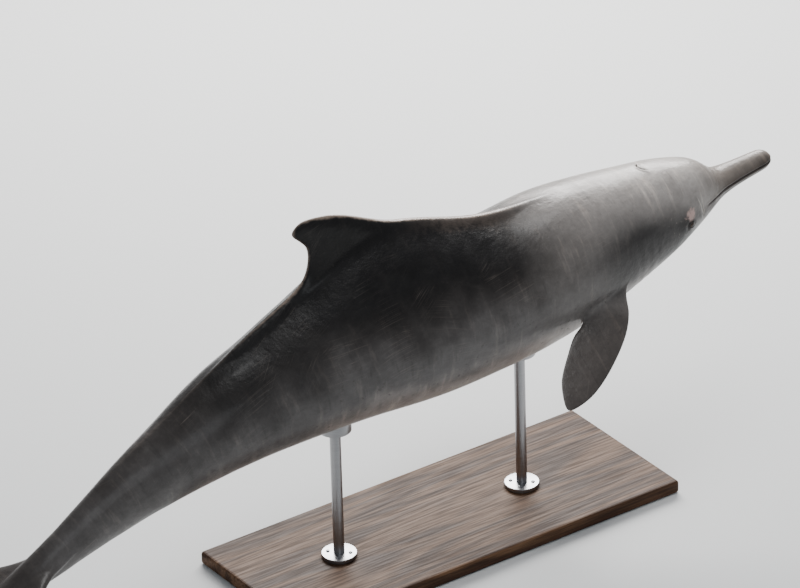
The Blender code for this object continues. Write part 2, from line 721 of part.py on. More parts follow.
# ---------------------------------------------------------------- the model
def main():
    for obj in list(bpy.data.objects):
        bpy.data.objects.remove(obj, do_unlink=True)
    model = bpy.data.collections.new("humpback_dolphin")
    cutters = bpy.data.collections.new("cutters")
    bpy.context.scene.collection.children.link(model)
    bpy.context.scene.collection.children.link(cutters)

    skins = {
        "back": finish("skin_back", (0.055, 0.050, 0.048), 0.35),
        "flank": finish("skin_flank", (0.085, 0.078, 0.074), 0.38),
        "beak": finish("skin_beak", (0.130, 0.110, 0.098), 0.38),
        "eye": finish("eye", (0.012, 0.009, 0.008), 0.08),
        "blowhole": finish("blowhole", (0.020, 0.017, 0.016), 0.50),
    }
    wood = finish("stand_base", (0.045, 0.040, 0.038), 0.45)
    steel = finish("stand_steel", (0.55, 0.55, 0.56), 0.28, 1.0)

    shell = shell_mesh()
    for name, planes in body_planes().items():
        skin = skins["beak"] if name.startswith("beak") else skins["flank"]
        if name in ("hump", "dorsal_fin", "melon"):
            skin = skins["back"]
        add_object(name, parted(shell, planes), skin, model)

    head = model.objects["head"]
    for side, name in ((-1, "eye_right"), (1, "eye_left")):
        centre = eye_centre(side)
        add_object(name, ball_mesh(name, centre, EYE_RADIUS), skins["eye"], model)
        socket = add_cutter(f"socket_{name}", ball_mesh("socket", centre, EYE_RADIUS + GAP), cutters)
        cut_with(head, socket, f"socket_{name}")
    pit = crescent_mesh("blowhole_pit", 0.0, BLOWHOLE_DEPTH, -BLOWHOLE_DEPTH)
    cut_with(head, add_cutter("blowhole_pit", pit, cutters), "blowhole")
    plug = crescent_mesh("blowhole", GAP, -BLOWHOLE_SUNK, -BLOWHOLE_DEPTH + GAP)
    add_object("blowhole", plug, skins["blowhole"], model)

    wall = add_cutter("body_wall", swollen(shell, GAP), cutters)
    for side, name in ((-1, "flipper_right"), (1, "flipper_left")):
        flipper = add_object(name, flipper_mesh(name, side), skins["flank"], model)
        cut_with(flipper, wall, "root")
    build_stand(model, wall, wood, steel)


main()
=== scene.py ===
"""Indian Ocean humpback dolphin (Sousa plumbea): the looks of the display model, around its solids.

Metres, +Z up. The dolphin faces +X and its right side is at -Y. The body is first made straight:
s runs back from the tip of the beak, y to the left, z up from the line of the mouth. One mesh
holds the whole skin. It is built on a grid of columns along the body and rows around it. The grid
opens for the flippers, the eyes and the blowhole, and a curved spine then poses it.
"""

import math

import bmesh
import bpy
import numpy as np
from mathutils import Matrix, Vector


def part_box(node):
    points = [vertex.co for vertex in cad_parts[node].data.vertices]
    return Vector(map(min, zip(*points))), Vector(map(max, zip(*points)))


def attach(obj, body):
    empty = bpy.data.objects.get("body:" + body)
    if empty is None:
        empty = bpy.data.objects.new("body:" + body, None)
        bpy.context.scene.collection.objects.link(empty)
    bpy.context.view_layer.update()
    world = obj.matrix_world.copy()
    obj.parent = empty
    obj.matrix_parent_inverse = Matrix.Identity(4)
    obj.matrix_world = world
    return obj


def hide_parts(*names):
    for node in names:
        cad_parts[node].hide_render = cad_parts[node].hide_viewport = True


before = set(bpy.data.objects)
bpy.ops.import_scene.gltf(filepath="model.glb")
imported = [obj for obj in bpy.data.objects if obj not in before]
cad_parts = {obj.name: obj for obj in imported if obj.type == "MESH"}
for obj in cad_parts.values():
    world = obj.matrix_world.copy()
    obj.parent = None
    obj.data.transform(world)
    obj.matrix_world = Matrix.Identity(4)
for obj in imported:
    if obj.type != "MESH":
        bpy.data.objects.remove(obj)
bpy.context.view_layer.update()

# ---------------- the shape of the body
LENGTH = 2.50  # beak tip to fluke notch, along the spine
BELLY_CLEARANCE = 0.44  # floor to the belly at REST_STATION
REST_STATION = 0.90

# Sections of the straight body: station s, height of the back with its hump, depth of the belly,
# half width, height of the widest line (the mouth line on the beak), and the superellipse
# exponents of the upper and the lower half.
SECTIONS = np.array([
    (0.000, 0.0235, 0.0225, 0.0265, 0.000, 2.00, 2.00),
    (0.045, 0.0270, 0.0260, 0.0305, 0.000, 2.00, 2.00),
    (0.100, 0.0300, 0.0290, 0.0345, 0.000, 2.00, 2.00),
    (0.148, 0.0335, 0.0335, 0.0410, 0.000, 2.00, 2.00),
    (0.178, 0.0430, 0.0385, 0.0490, 0.002, 2.00, 2.00),
    (0.215, 0.0780, 0.0465, 0.0665, 0.006, 2.10, 2.05),
    (0.270, 0.1090, 0.0690, 0.0910, 0.010, 2.15, 2.05),
    (0.335, 0.1290, 0.0960, 0.1110, 0.008, 2.15, 2.10),
    (0.430, 0.1475, 0.1270, 0.1330, 0.000, 2.10, 2.10),
    (0.540, 0.1620, 0.1620, 0.1550, 0.000, 2.05, 2.10),
    (0.700, 0.1720, 0.2010, 0.1840, -0.005, 1.90, 2.10),
    (0.850, 0.1800, 0.2230, 0.1970, -0.010, 1.65, 2.10),
    (0.950, 0.1990, 0.2290, 0.2010, -0.014, 1.48, 2.10),
    (1.080, 0.2450, 0.2310, 0.2010, -0.016, 1.38, 2.10),
    (1.200, 0.2770, 0.2250, 0.1940, -0.014, 1.34, 2.05),
    (1.300, 0.2650, 0.2140, 0.1830, -0.010, 1.36, 2.00),
    (1.400, 0.2170, 0.2010, 0.1690, -0.007, 1.50, 1.95),
    (1.550, 0.1710, 0.1780, 0.1440, -0.003, 1.60, 1.90),
    (1.700, 0.1370, 0.1500, 0.1150, 0.000, 1.70, 1.85),
    (1.850, 0.1070, 0.1210, 0.0880, 0.000, 1.75, 1.80),
    (2.020, 0.0840, 0.0900, 0.0590, 0.000, 1.75, 1.75),
    (2.200, 0.0560, 0.0570, 0.0400, 0.000, 1.85, 1.85),
    (2.320, 0.0360, 0.0360, 0.0330, 0.000, 2.00, 2.00),
    (2.420, 0.0170, 0.0170, 0.0300, 0.000, 2.00, 2.00),
    (2.500, 0.0030, 0.0030, 0.0300, 0.000, 2.00, 2.00),
])
NOSE = 0.032  # length over which the beak's end rounds off

# Outline of the fin on the hump: station where a line leaves the flank, station where it meets
# the fin's edge, and the edge's height above the hump.
FIN_EDGE = np.array([
    (1.120, 1.120, 0.0000),
    (1.165, 1.170, 0.0060),
    (1.210, 1.235, 0.0400),
    (1.250, 1.305, 0.0985),
    (1.282, 1.355, 0.1400),
    (1.303, 1.388, 0.1580),
    (1.318, 1.405, 0.1480),
    (1.330, 1.396, 0.1225),
    (1.345, 1.381, 0.0890),
    (1.362, 1.378, 0.0540),
    (1.382, 1.389, 0.0220),
    (1.415, 1.415, 0.0030),
    (1.450, 1.450, 0.0000),
])
FIN_SWEEP = 3.6  # how late the lines up the fin lean back
# The hump's ridge and the fin: half width, what it loses per metre of height above the hump, and how
# far in from the edge it is reached, on the hump, at the fin's front and behind its tip. Each span
# holds the stations where it sets in, is full, starts to fade and is gone.
RIDGE_HALF_WIDTH = 0.020
RIDGE_SPAN = (0.62, 0.88, 1.55, 1.80)
RIDGE_KEEL = 0.022  # how far it stands over the flanks that it joins
RIDGE_INSET = 0.040
RIDGE_REACH = (0.50, 2.00)  # stations between which the edge is followed
RIDGE_ONSET = (0.2, 0.8)  # shares of the flank's height over which the ridge sets in
RIDGE_SOFTNESS = 0.08  # rounds the hollow where the fin leaves the hump
RIDGE_BLEND = 2.2  # exponent that joins the ridge to the flank
FIN_TIP = 1.308  # line that meets the tip
FIN_THINNING = 0.075
FIN_FOOT = 0.015
FIN_INSET = 0.050
FIN_SPAN = (1.06, 1.22, 1.40, 1.50)
FIN_REAR_INSET = 0.070
RIDGE_EDGE = 0.0002  # radius of its very edge

# Outline of the flukes seen from above: station on the midline, station on the edge, half span.
FLUKE_EDGE = np.array([
    (2.200, 2.200, 0.040),
    (2.270, 2.290, 0.052),
    (2.330, 2.370, 0.110),
    (2.380, 2.450, 0.200),
    (2.410, 2.518, 0.288),
    (2.425, 2.546, 0.310),
    (2.440, 2.541, 0.278),
    (2.465, 2.525, 0.190),
    (2.485, 2.526, 0.090),
    (2.493, 2.523, 0.050),
    (2.498, 2.515, 0.020),
    (2.500, 2.500, 0.004),
])
FLUKE_ROOT_HALF_THICKNESS = 0.017
FLUKE_TIP_HALF_THICKNESS = 0.007
FLUKE_THINNING = (0.05, 0.30)  # distances from the midline between which the blade thins
FLUKE_ONSET = (2.20, 2.24)  # stations over which the blade grows out of the tail stock
FLUKE_REAR_TAPER = (2.52, 0.20, 0.25)  # station where it ends, its length, share left there
FLUKE_CROWDING = (1.0, 3.0)  # half spans, in stock widths, over which the lines crowd outwards
FLUKE_BLEND = 2.5  # exponent that joins the blade to the stock
FLUKE_SOFTNESS = 0.30  # rounds the hollow where the blade leaves the stock
FLUKE_SOFTENED = (2.20, 2.30)  # stations over which that sets in
FLUKE_CLOSING = 12  # exponent that closes the stock at the blade's edge

# Pitch of the spine in degrees, the head's end up, at stations of the body.
SPINE_PITCH = np.array([
    (0.00, 7.0),
    (0.35, 5.0),
    (0.60, 1.5),
    (0.95, 1.5),
    (1.25, 6.0),
    (1.60, 16.0),
    (1.95, 23.0),
    (2.20, 25.0),
    (2.50, 16.0),
    (2.70, 13.0),
])

# Flipper: a flat blade whose plane holds the body's axis and a direction out and down.
FLIPPER_ROOT = (0.640, 0.150, -0.098)  # s, y, z of the middle of the root
FLIPPER_DROOP = math.radians(37)
# Share of the way to the tip; front edge, then rear edge, each as distance back and out from the
# root; and the thickness at mid chord.
FLIPPER_EDGES = np.array([
    (0.00, -0.078, -0.022, 0.068, -0.022, 0.0410),
    (0.15, -0.052, 0.035, 0.077, 0.018, 0.0240),
    (0.35, -0.006, 0.096, 0.120, 0.046, 0.0190),
    (0.55, 0.060, 0.150, 0.165, 0.085, 0.0150),
    (0.75, 0.135, 0.197, 0.210, 0.130, 0.0115),
    (0.90, 0.198, 0.226, 0.243, 0.172, 0.0080),
    (1.00, 0.232, 0.240, 0.266, 0.206, 0.0036),
])
FLIPPER_FORWARD = 0.39  # how far the thickness leans to the front edge
FLIPPER_TIP = 0.78  # share of the way from which the tip rounds off
FLIPPER_JOINED = 0.19  # share from which the blade has left the body
FLIPPER_PULLS = (1.1, 1.3)  # how stiffly the skin leaves the body, and meets the blade
FLIPPER_ROOT_RINGS = 10
FLIPPER_RINGS = 31
FLIPPER_CORNER = 0.03  # share of the chord that the ends of the root's opening take

# Eyes
EYE_STATION = 0.338
EYE_HEIGHT = -0.004
EYE_RADIUS = 0.0140
EYE_DEPTH = 0.0116  # centre under the skin
EYE_SEGMENTS = 48
EYE_RINGS = 30
CORNEA = (0.012, 0.50)  # share by which it stands over the ball, angle over which it does
ORBIT_BULGE = 0.005
ORBIT_RADIUS = 0.030
EYE_OPENING = (0.0115, 0.0062)  # half length and half height between the lids
EYE_FRONT_DIP = 0.0012
LOWER_LID = 0.80  # height of its arch against the upper one's
LID_THICKNESS = 0.0012
LID_SOFTNESS = 0.0030  # rounds the hollow where the lids leave the head
LID_REACH = 0.0112  # distance from the slit, counted up or down, over which they do
LID_BEAD = 0.0003  # swelling along the lid's edge
LID_CURL = 0.0007  # how far the edge turns in
LID_RINGS = 26
LID_CROWDING = 1.7  # exponent that crowds them towards the slit
# Shares of the way to the slit over which skin moves out to clear the eyeball, and lies down on it.
LID_CLEARING = (0.0, 0.4)
LID_SETTLING = (0.50, 0.97)
LID_EDGE_RINGS = 4
SOCKET_RINGS = 10  # from the lid's edge to the point behind the eyeball
EYE_GAP = 0.0003
# Folds round the eye: distance from the slit, half width, depth above and depth below.
LID_FOLDS = ((0.0046, 0.0011, 0.0014, 0.0008), (0.0084, 0.0015, 0.0009, 0.0005))

# Blowhole: a crescent across the midline, its horns forward.
BLOWHOLE_STATION = 0.408
BLOWHOLE_RADIUS = 0.024
BLOWHOLE_HALF_WIDTH = 0.0026
BLOWHOLE_HALF_ANGLE = math.radians(62)
BLOWHOLE_DEPTH = 0.012
BLOWHOLE_RINGS = 14
BLOWHOLE_CROWDING = 1.5
BLOWHOLE_LIP = (0.0017, 0.0058, 0.0032)  # height, distance from the slit, half width
# Shares of the depth, and how far the slit is open there.
BLOWHOLE_WALL = ((0.04, 0.88), (0.10, 0.70), (0.20, 0.48), (0.36, 0.32), (0.60, 0.24), (1.0, 0.0))

# Grooves in the skin: depth and half width. Lips and lines beside them: height, distance from the
# groove, and half width.
MOUTH_END = 0.276
MOUTH_FADE = 0.030
MOUTH_GROOVE = (0.0026, 0.0014)
MOUTH_LIPS = (0.0009, 0.0052, 0.0028)
CREASE_STATION = 0.186  # where the melon meets the beak
CREASE_SLANT = 0.030
CREASE_GROOVE = (0.0024, 0.0045)
CREASE_ONSET = (0.05, 0.45)  # shares of the melon's height over which it sets in
CREASE_ECHO = (0.0011, 0.0130, 0.0040)  # a second, shallower groove behind it
CREASE_ECHO_ONSET = (0.25, 0.70)
CORNER_STATION = 0.287  # fold behind the corner of the mouth
CORNER_HEIGHT = 0.010
CORNER_BEND = 9.0
CORNER_FADE = (0.012, 0.036)  # distances above and below over which it ends
CORNER_GROOVE = (0.0022, 0.0042)
CORNER_BEAD = (0.0014, 0.0085, 0.0050)
NECK_FOLDS = ((0.455, 0.0013), (0.490, 0.0017), (0.522, 0.0012))  # station and depth
NECK_FOLD_WIDTH = 0.0075
NECK_FOLD_SLANT = 0.12
NECK_FOLD_WANDER = 0.010
NECK_FOLD_FADE = (-0.02, 0.06)  # heights over which they end
# Slits on the belly's midline: from, to and depth.
BELLY_SLITS = ((1.285, 1.330, 0.0022), (1.560, 1.690, 0.0040), (1.715, 1.755, 0.0022))
SLIT_WIDTH = 0.0045
SLIT_LIPS = (0.35, 0.0140, 0.0080)  # share of the slit's depth, distance from it, half width
# Distances from the eye and from the blowhole over which folds and unevenness set in.
EYE_CLEAR = (0.022, 0.045)
BLOWHOLE_CLEAR = (0.026, 0.045)
UNEVENNESS = ((0.0007, 0.11, 1), (0.0003, 0.045, 2))  # height, size and seed

# Skin colours
BACK = (0.050, 0.042, 0.038)
# Dark skin of the hump and fin, made near-black by painted shade.
HUMP_DARK_AND_SHADE = (0.0050, 0.0043, 0.0042)
FLANK = (0.130, 0.122, 0.118)
BELLY = (0.400, 0.350, 0.320)
# The head's paler skin, lightened further as a painted sheen of the wet head.
HEAD_PALE_AND_SHEEN = (0.430, 0.398, 0.372)
BEAK = (0.215, 0.186, 0.162)
# Painted shade under the beak.
BEAK_UNDER_SHADE = (0.050, 0.037, 0.030)
# Paler edge of the hump and fin: partly worn skin, partly painted rim light.
RIM_WEAR_AND_LIGHT = (0.300, 0.230, 0.185)
# Lighter top at the hump's front: partly worn skin, partly painted light on its broad top.
BROW_WEAR_AND_LIGHT = (0.110, 0.086, 0.072)
CREASE = (0.560, 0.520, 0.455)
SCAR = (0.240, 0.200, 0.175)
PINK = (0.620, 0.430, 0.385)
DARK = (0.014, 0.011, 0.010)
# Painted shade on the side of the head behind and below the eye.
CHEEK_SHADE = (0.020, 0.018, 0.018)
# Angle to the body's axis in degrees, length, spacing, seed and strength of each set of scratches.
SCRATCHES = (
    (3, 0.60, 0.0110, 1.3, 0.32),
    (-14, 0.45, 0.0065, 5.1, 0.26),
    (22, 0.36, 0.0055, 8.6, 0.24),
    (-40, 0.26, 0.0060, 11.2, 0.22),
)
# Pale lines over the corner of the mouth: station at z = 0, slant and half width.
CORNER_LINES = ((0.2842, 0.29, 0.0026), (0.2800, 0.05, 0.0018))

# Stand
SCREW_RADIUS = 0.0048
SCREW_HEIGHT = 0.0030
SCREW_SOCKET = 0.0017  # from its middle to a flat side
SCREW_CIRCLE = 0.0290  # from the rod's middle
SCREW_SIDES = 24
TURNED_SIDES = 96
STEEL_EDGE = 0.0015  # rounding of the flanges and cups
CUP_CLEAR = 0.0006  # between a cup's rim and the belly

# Camera and lights
CAMERA_AZIMUTH = math.radians(-38)
CAMERA_ELEVATION = math.radians(28)
CAMERA_DISTANCE = 17.0
CAMERA_LENS = 299.2
FRAME_RIGHT = -0.9426  # from the beak's tip to the middle of the frame
FRAME_UP = -0.3559
SKY_COLOUR = (0.80, 0.87, 0.95, 1)
SKY_STRENGTH = 0.34
# Soft lights: name, place, what they face, size, power and colour.
LIGHTS = (
    ("sky", (2.7, 3.5, 3.0), (0, 0, 0.8), (4.0, 2.2), 640, (1.0, 0.98, 0.96)),
    ("fill", (-2.5, -4.5, 2.4), (0, 0, 0.7), (3.0, 2.0), 36, (0.92, 0.96, 1.0)),
    ("top", (0.7, -0.2, 4.6), (0.5, 0, 0.7), (3.4, 1.6), 120, (1.0, 1.0, 1.0)),
)

# ---------------- the grid
# Runs of columns along the body, each up to a station and with a count, and rows around it, from
# the belly over the right side, the back and the left side.
COLUMN_RUNS = (
    (0.150, 26),
    (0.300, 58),
    (0.460, 60),
    (0.860, 52),
    (1.180, 38),
    (1.290, 26),
    (1.420, 60),
    (1.500, 12),
    (2.200, 72),
    (2.380, 32),
    (2.460, 30),
    (2.500, 46),
)
NOSE_COLUMNS = 12
ROWS = 152
ROW_CROWDING = 0.45  # of rows: at the head's back, sides and belly, and at the foot of the fin
HEAD_SPAN = (0.16, 0.24, 0.44, 0.58)
HUMP_SPAN = (1.05, 1.20, 1.42, 1.55)
# Openings of the grid: how far they reach ahead of and behind a place, and rows on either side.
EYE_BLOCK = (-0.033, 0.033, 10)
FLIPPER_BLOCK = (-0.082, 0.078, 4)
BLOWHOLE_BLOCK = (-0.040, 0.028, 15)


# ---------------- curves
class Curve:
    """Smooth columns of numbers over the first column of a table, read from cubic pieces."""

    def __init__(self, table, ends=None, tight=False):
        self.x, self.y = table[:, 0], table[:, 1:]
        h = np.diff(self.x)
        rise = (np.diff(self.y, axis=0).T / h).T
        self.slopes = self.tight_slopes(h, rise) if tight else self.smooth_slopes(h, rise, ends)

    def smooth_slopes(self, h, rise, ends):
        """Slopes of the cubic spline through the points: natural, or with these slopes at its ends."""
        count = len(self.x)
        system = np.zeros((count, count))
        right = np.zeros_like(self.y)
        if ends is None:
            system[0, :2] = 2, 1
            right[0] = 3 * rise[0]
            system[-1, -2:] = 1, 2
            right[-1] = 3 * rise[-1]
        else:
            system[[0, -1], [0, -1]] = 1
            right[[0, -1]] = ends
        for k in range(1, count - 1):
            system[k, k - 1:k + 2] = h[k], 2 * (h[k - 1] + h[k]), h[k - 1]
            right[k] = 3 * (h[k] * rise[k - 1] + h[k - 1] * rise[k])
        return np.linalg.solve(system, right)

    def tight_slopes(self, h, rise):
        """Slopes that never overshoot the points, for an outline that turns back on itself."""
        before, after = rise[:-1], rise[1:]
        mean = ((before.T * h[1:] + after.T * h[:-1]) / (h[1:] + h[:-1])).T
        limit = 3 * np.minimum(np.abs(before), np.abs(after))
        slopes = np.zeros_like(self.y)
        slopes[1:-1] = np.where(before * after > 0, np.sign(mean) * np.minimum(np.abs(mean), limit), 0)
        return slopes

    def at(self, place):
        """Each column's values at the given places."""
        k = np.clip(np.searchsorted(self.x, place, side="right") - 1, 0, len(self.x) - 2)
        h = self.x[k + 1] - self.x[k]
        t = np.clip((place - self.x[k]) / h, 0, 1)
        start = 2 * t**3 - 3 * t**2 + 1
        leave = (t**3 - 2 * t**2 + t) * h
        arrive = (t**3 - t**2) * h
        return [
            start * y[k] + leave * slope[k] + (1 - start) * y[k + 1] + arrive * slope[k + 1]
            for y, slope in zip(self.y.T, self.slopes.T)
        ]


def ease(value, low, high):
    t = np.clip((value - low) / (high - low), 0, 1)
    return t * t * (3 - 2 * t)


def over(s, span):
    """1 in the middle of a span of stations, easing to 0 at its two ends."""
    return ease(s, span[0], span[1]) * (1 - ease(s, span[2], span[3]))


def unit(vector):
    return vector / np.linalg.norm(vector, axis=-1, keepdims=True)


BODY = Curve(SECTIONS)
FIN = Curve(FIN_EDGE, ends=(1, 0))
FLUKE = Curve(FLUKE_EDGE, tight=True)
SPINE = Curve(SPINE_PITCH)
FLIPPER = Curve(FLIPPER_EDGES)


# ---------------- the straight body
def section(s):
    """The six columns of SECTIONS at stations s."""
    return BODY.at(np.clip(s, 0, LENGTH))


def ridge(s):
    """Station and height of the dorsal edge, fin included, for flank stations s."""
    inside = (s > FIN_EDGE[0, 0]) & (s < FIN_EDGE[-1, 0])
    along, rise = FIN.at(s)
    along = np.where(inside, along, s)
    return along, section(along)[0] + np.where(inside, rise, 0.0)


def dorsal_edge():
    """Points (s, z) along the dorsal edge up to the fin's tip, and from there on."""
    start, end = RIDGE_REACH
    root, foot = FIN_EDGE[[0, -1], 0]
    front = np.concatenate([np.linspace(start, root, 16)[:-1], np.linspace(root, FIN_TIP, 81)])
    rear = np.concatenate([np.linspace(FIN_TIP, foot, 81), np.linspace(foot, end, 16)[1:]])
    return [np.stack(ridge(run), axis=1) for run in (front, rear)]


EDGE_FRONT, EDGE_REAR = dorsal_edge()


def depth_from(edge, along, z):
    """How far points (along, z) lie from an edge: smooth also where two parts of it are near."""
    pull = 0
    for start, end in zip(edge[:-1], edge[1:]):
        length = math.hypot(*(end - start))
        over_s, over_z = (end - start) / length
        out_s, out_z = along - start[0], z - start[1]
        passed = out_s * over_s + out_z * over_z
        square = np.maximum(np.abs(out_z * over_s - out_s * over_z), 0.00001)
        left = passed - length
        pull += (passed / np.hypot(square, passed) - left / np.hypot(square, left)) / square**2
    return np.sqrt(2 / pull)


def filled(depth, inset):
    """Share of the full half width that is reached at a depth from the edge."""
    return np.sqrt(1 - (1 - np.clip(depth / (inset + 1e-9), 0, 1)) ** 3)


def body_point(s, angle):
    """Point (s, y, z) on the left half of the trunk; angle goes from 0 on the back to pi on the belly."""
    _, bottom, width, widest, _, power = section(s)
    c = np.cos(angle)
    # Upper half: lines that fan from the widest line to the dorsal edge.
    edge_s, edge_z = ridge(s)
    s_up = s + (edge_s - s) * np.abs(c) ** FIN_SWEEP
    z_up = widest + (edge_z - widest) * c
    top_there, _, width_there, widest_there, power_there, _ = section(s_up)
    hump = over(s_up, RIDGE_SPAN)
    level = np.maximum((z_up - widest_there) / (top_there - RIDGE_KEEL * hump**2 - widest_there), 0)
    high = hump * ease(level, *RIDGE_ONSET)
    free = 1 - level**power_there
    free = (free + np.hypot(free, RIDGE_SOFTNESS * high)) / 2
    flank = width_there * free ** (1 / power_there)
    # The hump's crest, which thins into the fin.
    rise = z_up - top_there
    rise = (rise + np.hypot(rise, FIN_FOOT)) / 2
    half = np.maximum(RIDGE_HALF_WIDTH - FIN_THINNING * rise, 0) * high
    full = (flank**RIDGE_BLEND + half**RIDGE_BLEND) ** (1 / RIDGE_BLEND)
    # Its rounded edge.
    fin = over(s_up, FIN_SPAN)
    from_edge = np.hypot(edge_s - s_up, edge_z - z_up) + 1e-9
    y_up = full * np.sqrt(from_edge / np.hypot(from_edge, RIDGE_EDGE * hump))
    for edge, fin_inset in ((EDGE_FRONT, FIN_INSET), (EDGE_REAR, FIN_REAR_INSET)):
        inset = hump * (RIDGE_INSET + (fin_inset - RIDGE_INSET) * fin)
        y_up = y_up * filled(depth_from(edge, s_up, z_up), inset)
    # Lower half: plain sections.
    y_down = width * np.clip(1 - np.abs(c) ** power, 0, 1) ** (1 / power)
    z_down = widest + (bottom + widest) * c
    upper = c >= 0
    nose = np.sqrt(np.clip(1 - np.clip(1 - s / NOSE, 0, 1) ** 2, 0, 1))
    y = np.where(upper, y_up, y_down) * nose
    z = np.where(upper, z_up, z_down) * nose
    orbit = ORBIT_BULGE * np.exp(-((s - EYE_STATION) ** 2 + (z - EYE_HEIGHT) ** 2) / ORBIT_RADIUS**2)
    return np.where(upper, s_up, s), y + orbit * nose * (np.sin(angle) > 0.001), z


def fluke_point(s, angle):
    """Point (s, y, z) on the left half of the tail end, on lines that fan out to the fluke's edge."""
    edge_s, edge_y = FLUKE.at(s)
    crowding = 1 + ease(edge_y / section(s)[2], *FLUKE_CROWDING)
    share = np.abs(np.sin(angle)) ** crowding
    along = s + (edge_s - s) * share
    y = edge_y * share
    top, bottom, width, _, power, _ = section(along)
    height = np.where(np.cos(angle) >= 0, top, bottom)
    soft = ease(s, *FLUKE_SOFTENED)
    free = 1 - (y / width) ** power
    free = (free + np.hypot(free, FLUKE_SOFTNESS * soft)) / 2
    closing = np.sqrt(np.clip(1 - share**FLUKE_CLOSING, 0, 1))
    stock = height * free ** (1 / power) * (1 + soft * (closing - 1))
    root, tip = FLUKE_ROOT_HALF_THICKNESS, FLUKE_TIP_HALF_THICKNESS
    rounded = np.clip(1 - share**3, 0, 1) ** 0.6
    end, taper, left = FLUKE_REAR_TAPER
    thinned = left + (1 - left) * np.clip((end - along) / taper, 0, 1)
    blade = (root + (tip - root) * ease(y, *FLUKE_THINNING)) * rounded * thinned * ease(s, *FLUKE_ONSET)
    z = (stock**FLUKE_BLEND + blade**FLUKE_BLEND) ** (1 / FLUKE_BLEND)
    return along, y, np.where(np.cos(angle) >= 0, z, -z)


def row_angle(s, row):
    """Angle from the back, 0 to pi, of a row counted from the belly over the right side."""
    x = np.abs(1 - 2 * row / ROWS)
    crowding = ROW_CROWDING * (over(s, HEAD_SPAN) - over(s, HUMP_SPAN))
    return np.pi * (x - crowding * np.sin(4 * np.pi * x) / (4 * np.pi))


def grid_point(s, row):
    """Straight point (s, y, z) for a station and a row, each a number or an array."""
    s, row = np.broadcast_arrays(np.asarray(s, float), np.asarray(row, float))
    angle = row_angle(s, row)
    tail = s > FLUKE_EDGE[0, 0]
    along, y, z = (np.where(tail, t, b) for t, b in zip(fluke_point(s, angle), body_point(s, angle)))
    return np.stack([along, np.where(row > ROWS / 2, y, -y), z], axis=-1)


# ---------------- the pose
SPINE_S = np.linspace(0, 2.7, 2701)


def spine():
    """Pitch, x and z of the spine at SPINE_S, with the beak's tip at x = z = 0."""
    pitch = np.radians(SPINE.at(SPINE_S)[0])
    middle = (pitch[1:] + pitch[:-1]) / 2
    step = np.diff(SPINE_S)
    x = np.concatenate([[0], np.cumsum(-np.cos(middle) * step)])
    z = np.concatenate([[0], np.cumsum(-np.sin(middle) * step)])
    return pitch, x, z


PITCH, SPINE_X, SPINE_Z = spine()


def posed(straight):
    """Points of the posed animal, beak's tip at the origin, for rows (s, y, z)."""
    s, y, z = straight[..., 0], straight[..., 1], straight[..., 2]
    pitch = np.interp(s, SPINE_S, PITCH)
    x = np.interp(s, SPINE_S, SPINE_X) - np.sin(pitch) * z
    up = np.interp(s, SPINE_S, SPINE_Z) + np.cos(pitch) * z
    return np.stack([x, y, up], axis=-1)


def rest_shift():
    """Sets the posed animal on its solids: the beak's tip in X, the belly's clearance in Z."""
    tip = max(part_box(node)[1][0] for node in ("beak_upper", "beak_lower"))
    belly = posed(np.array([REST_STATION, 0.0, -float(section(REST_STATION)[1])]))
    return np.array([tip, 0, BELLY_CLEARANCE - belly[2]])


SHIFT = rest_shift()


def placed(straight):
    return posed(straight) + SHIFT


# ---------------- skin mesh
def stations():
    """Stations of the grid's columns, crowded where the beak's end rounds off."""
    turn = np.linspace(0, np.pi / 2, NOSE_COLUMNS + 1)[:-1]
    runs = [NOSE * (1 - np.cos(turn))]
    start = NOSE
    for end, count in COLUMN_RUNS:
        runs.append(np.linspace(start, end, count, endpoint=False))
        start = end
    return np.concatenate([*runs, [LENGTH]])


def body_map(s, row):
    """Place on the UV map of the body's grid."""
    return 0.01 + 0.98 * s / LENGTH, 0.24 + 0.75 * row / ROWS


def loop_map(places):
    """UV places of a closed loop of grid places, the first one repeated at the end."""
    loop = [body_map(*place) for place in places]
    return loop + loop[:1]


class Skin:
    """Points of the straight skin, and faces with their UV corners."""

    def __init__(self):
        self.points = []
        self.count = 0
        self.faces = []
        self.corners = []

    def add(self, points, push=0.0, fixed=0.0, reach=0.0):
        """Adds points and returns their numbers.

        push is how far they move out along the skin's normal, fixed is 1 where they stay as they
        were made, and reach is the share of the way to a flipper's tip, 0 on the body.
        """
        points = np.asarray(points, float).reshape(-1, 3)
        extras = (np.broadcast_to(value, len(points)) for value in (push, fixed, reach))
        self.points.append(np.column_stack([points, *extras]))
        self.count += len(points)
        return np.arange(self.count - len(points), self.count)

    def face(self, ring, corners):
        self.faces.append([int(k) for k in ring])
        self.corners += corners

    def band(self, inner, outer, inner_map, outer_map):
        """Quads between two closed loops of as many points; each map has one more entry than points."""
        for k in range(len(inner)):
            after = (k + 1) % len(inner)
            self.face(
                (inner[k], inner[after], outer[after], outer[k]),
                (inner_map[k], inner_map[k + 1], outer_map[k + 1], outer_map[k]),
            )

    def fan(self, ring, tip, ring_map, tip_map):
        """Triangles from a closed loop to a point, with one entry of tip_map for each."""
        for k in range(len(ring)):
            corners = (ring_map[k], ring_map[k + 1], tip_map[k])
            self.face((ring[k], ring[(k + 1) % len(ring)], tip), corners)

    def mesh(self):
        mesh = bpy.data.meshes.new("skin")
        points = np.concatenate(self.points)
        mesh.from_pydata(points[:, :3].tolist(), [], self.faces)
        for name, values in zip(("push", "fixed", "reach"), points[:, 3:].T):
            add_values(mesh, name, values)
        uv = mesh.uv_layers.new(name="OFBake")
        uv.data.foreach_set("uv", np.array(self.corners, np.float32).ravel())
        return mesh


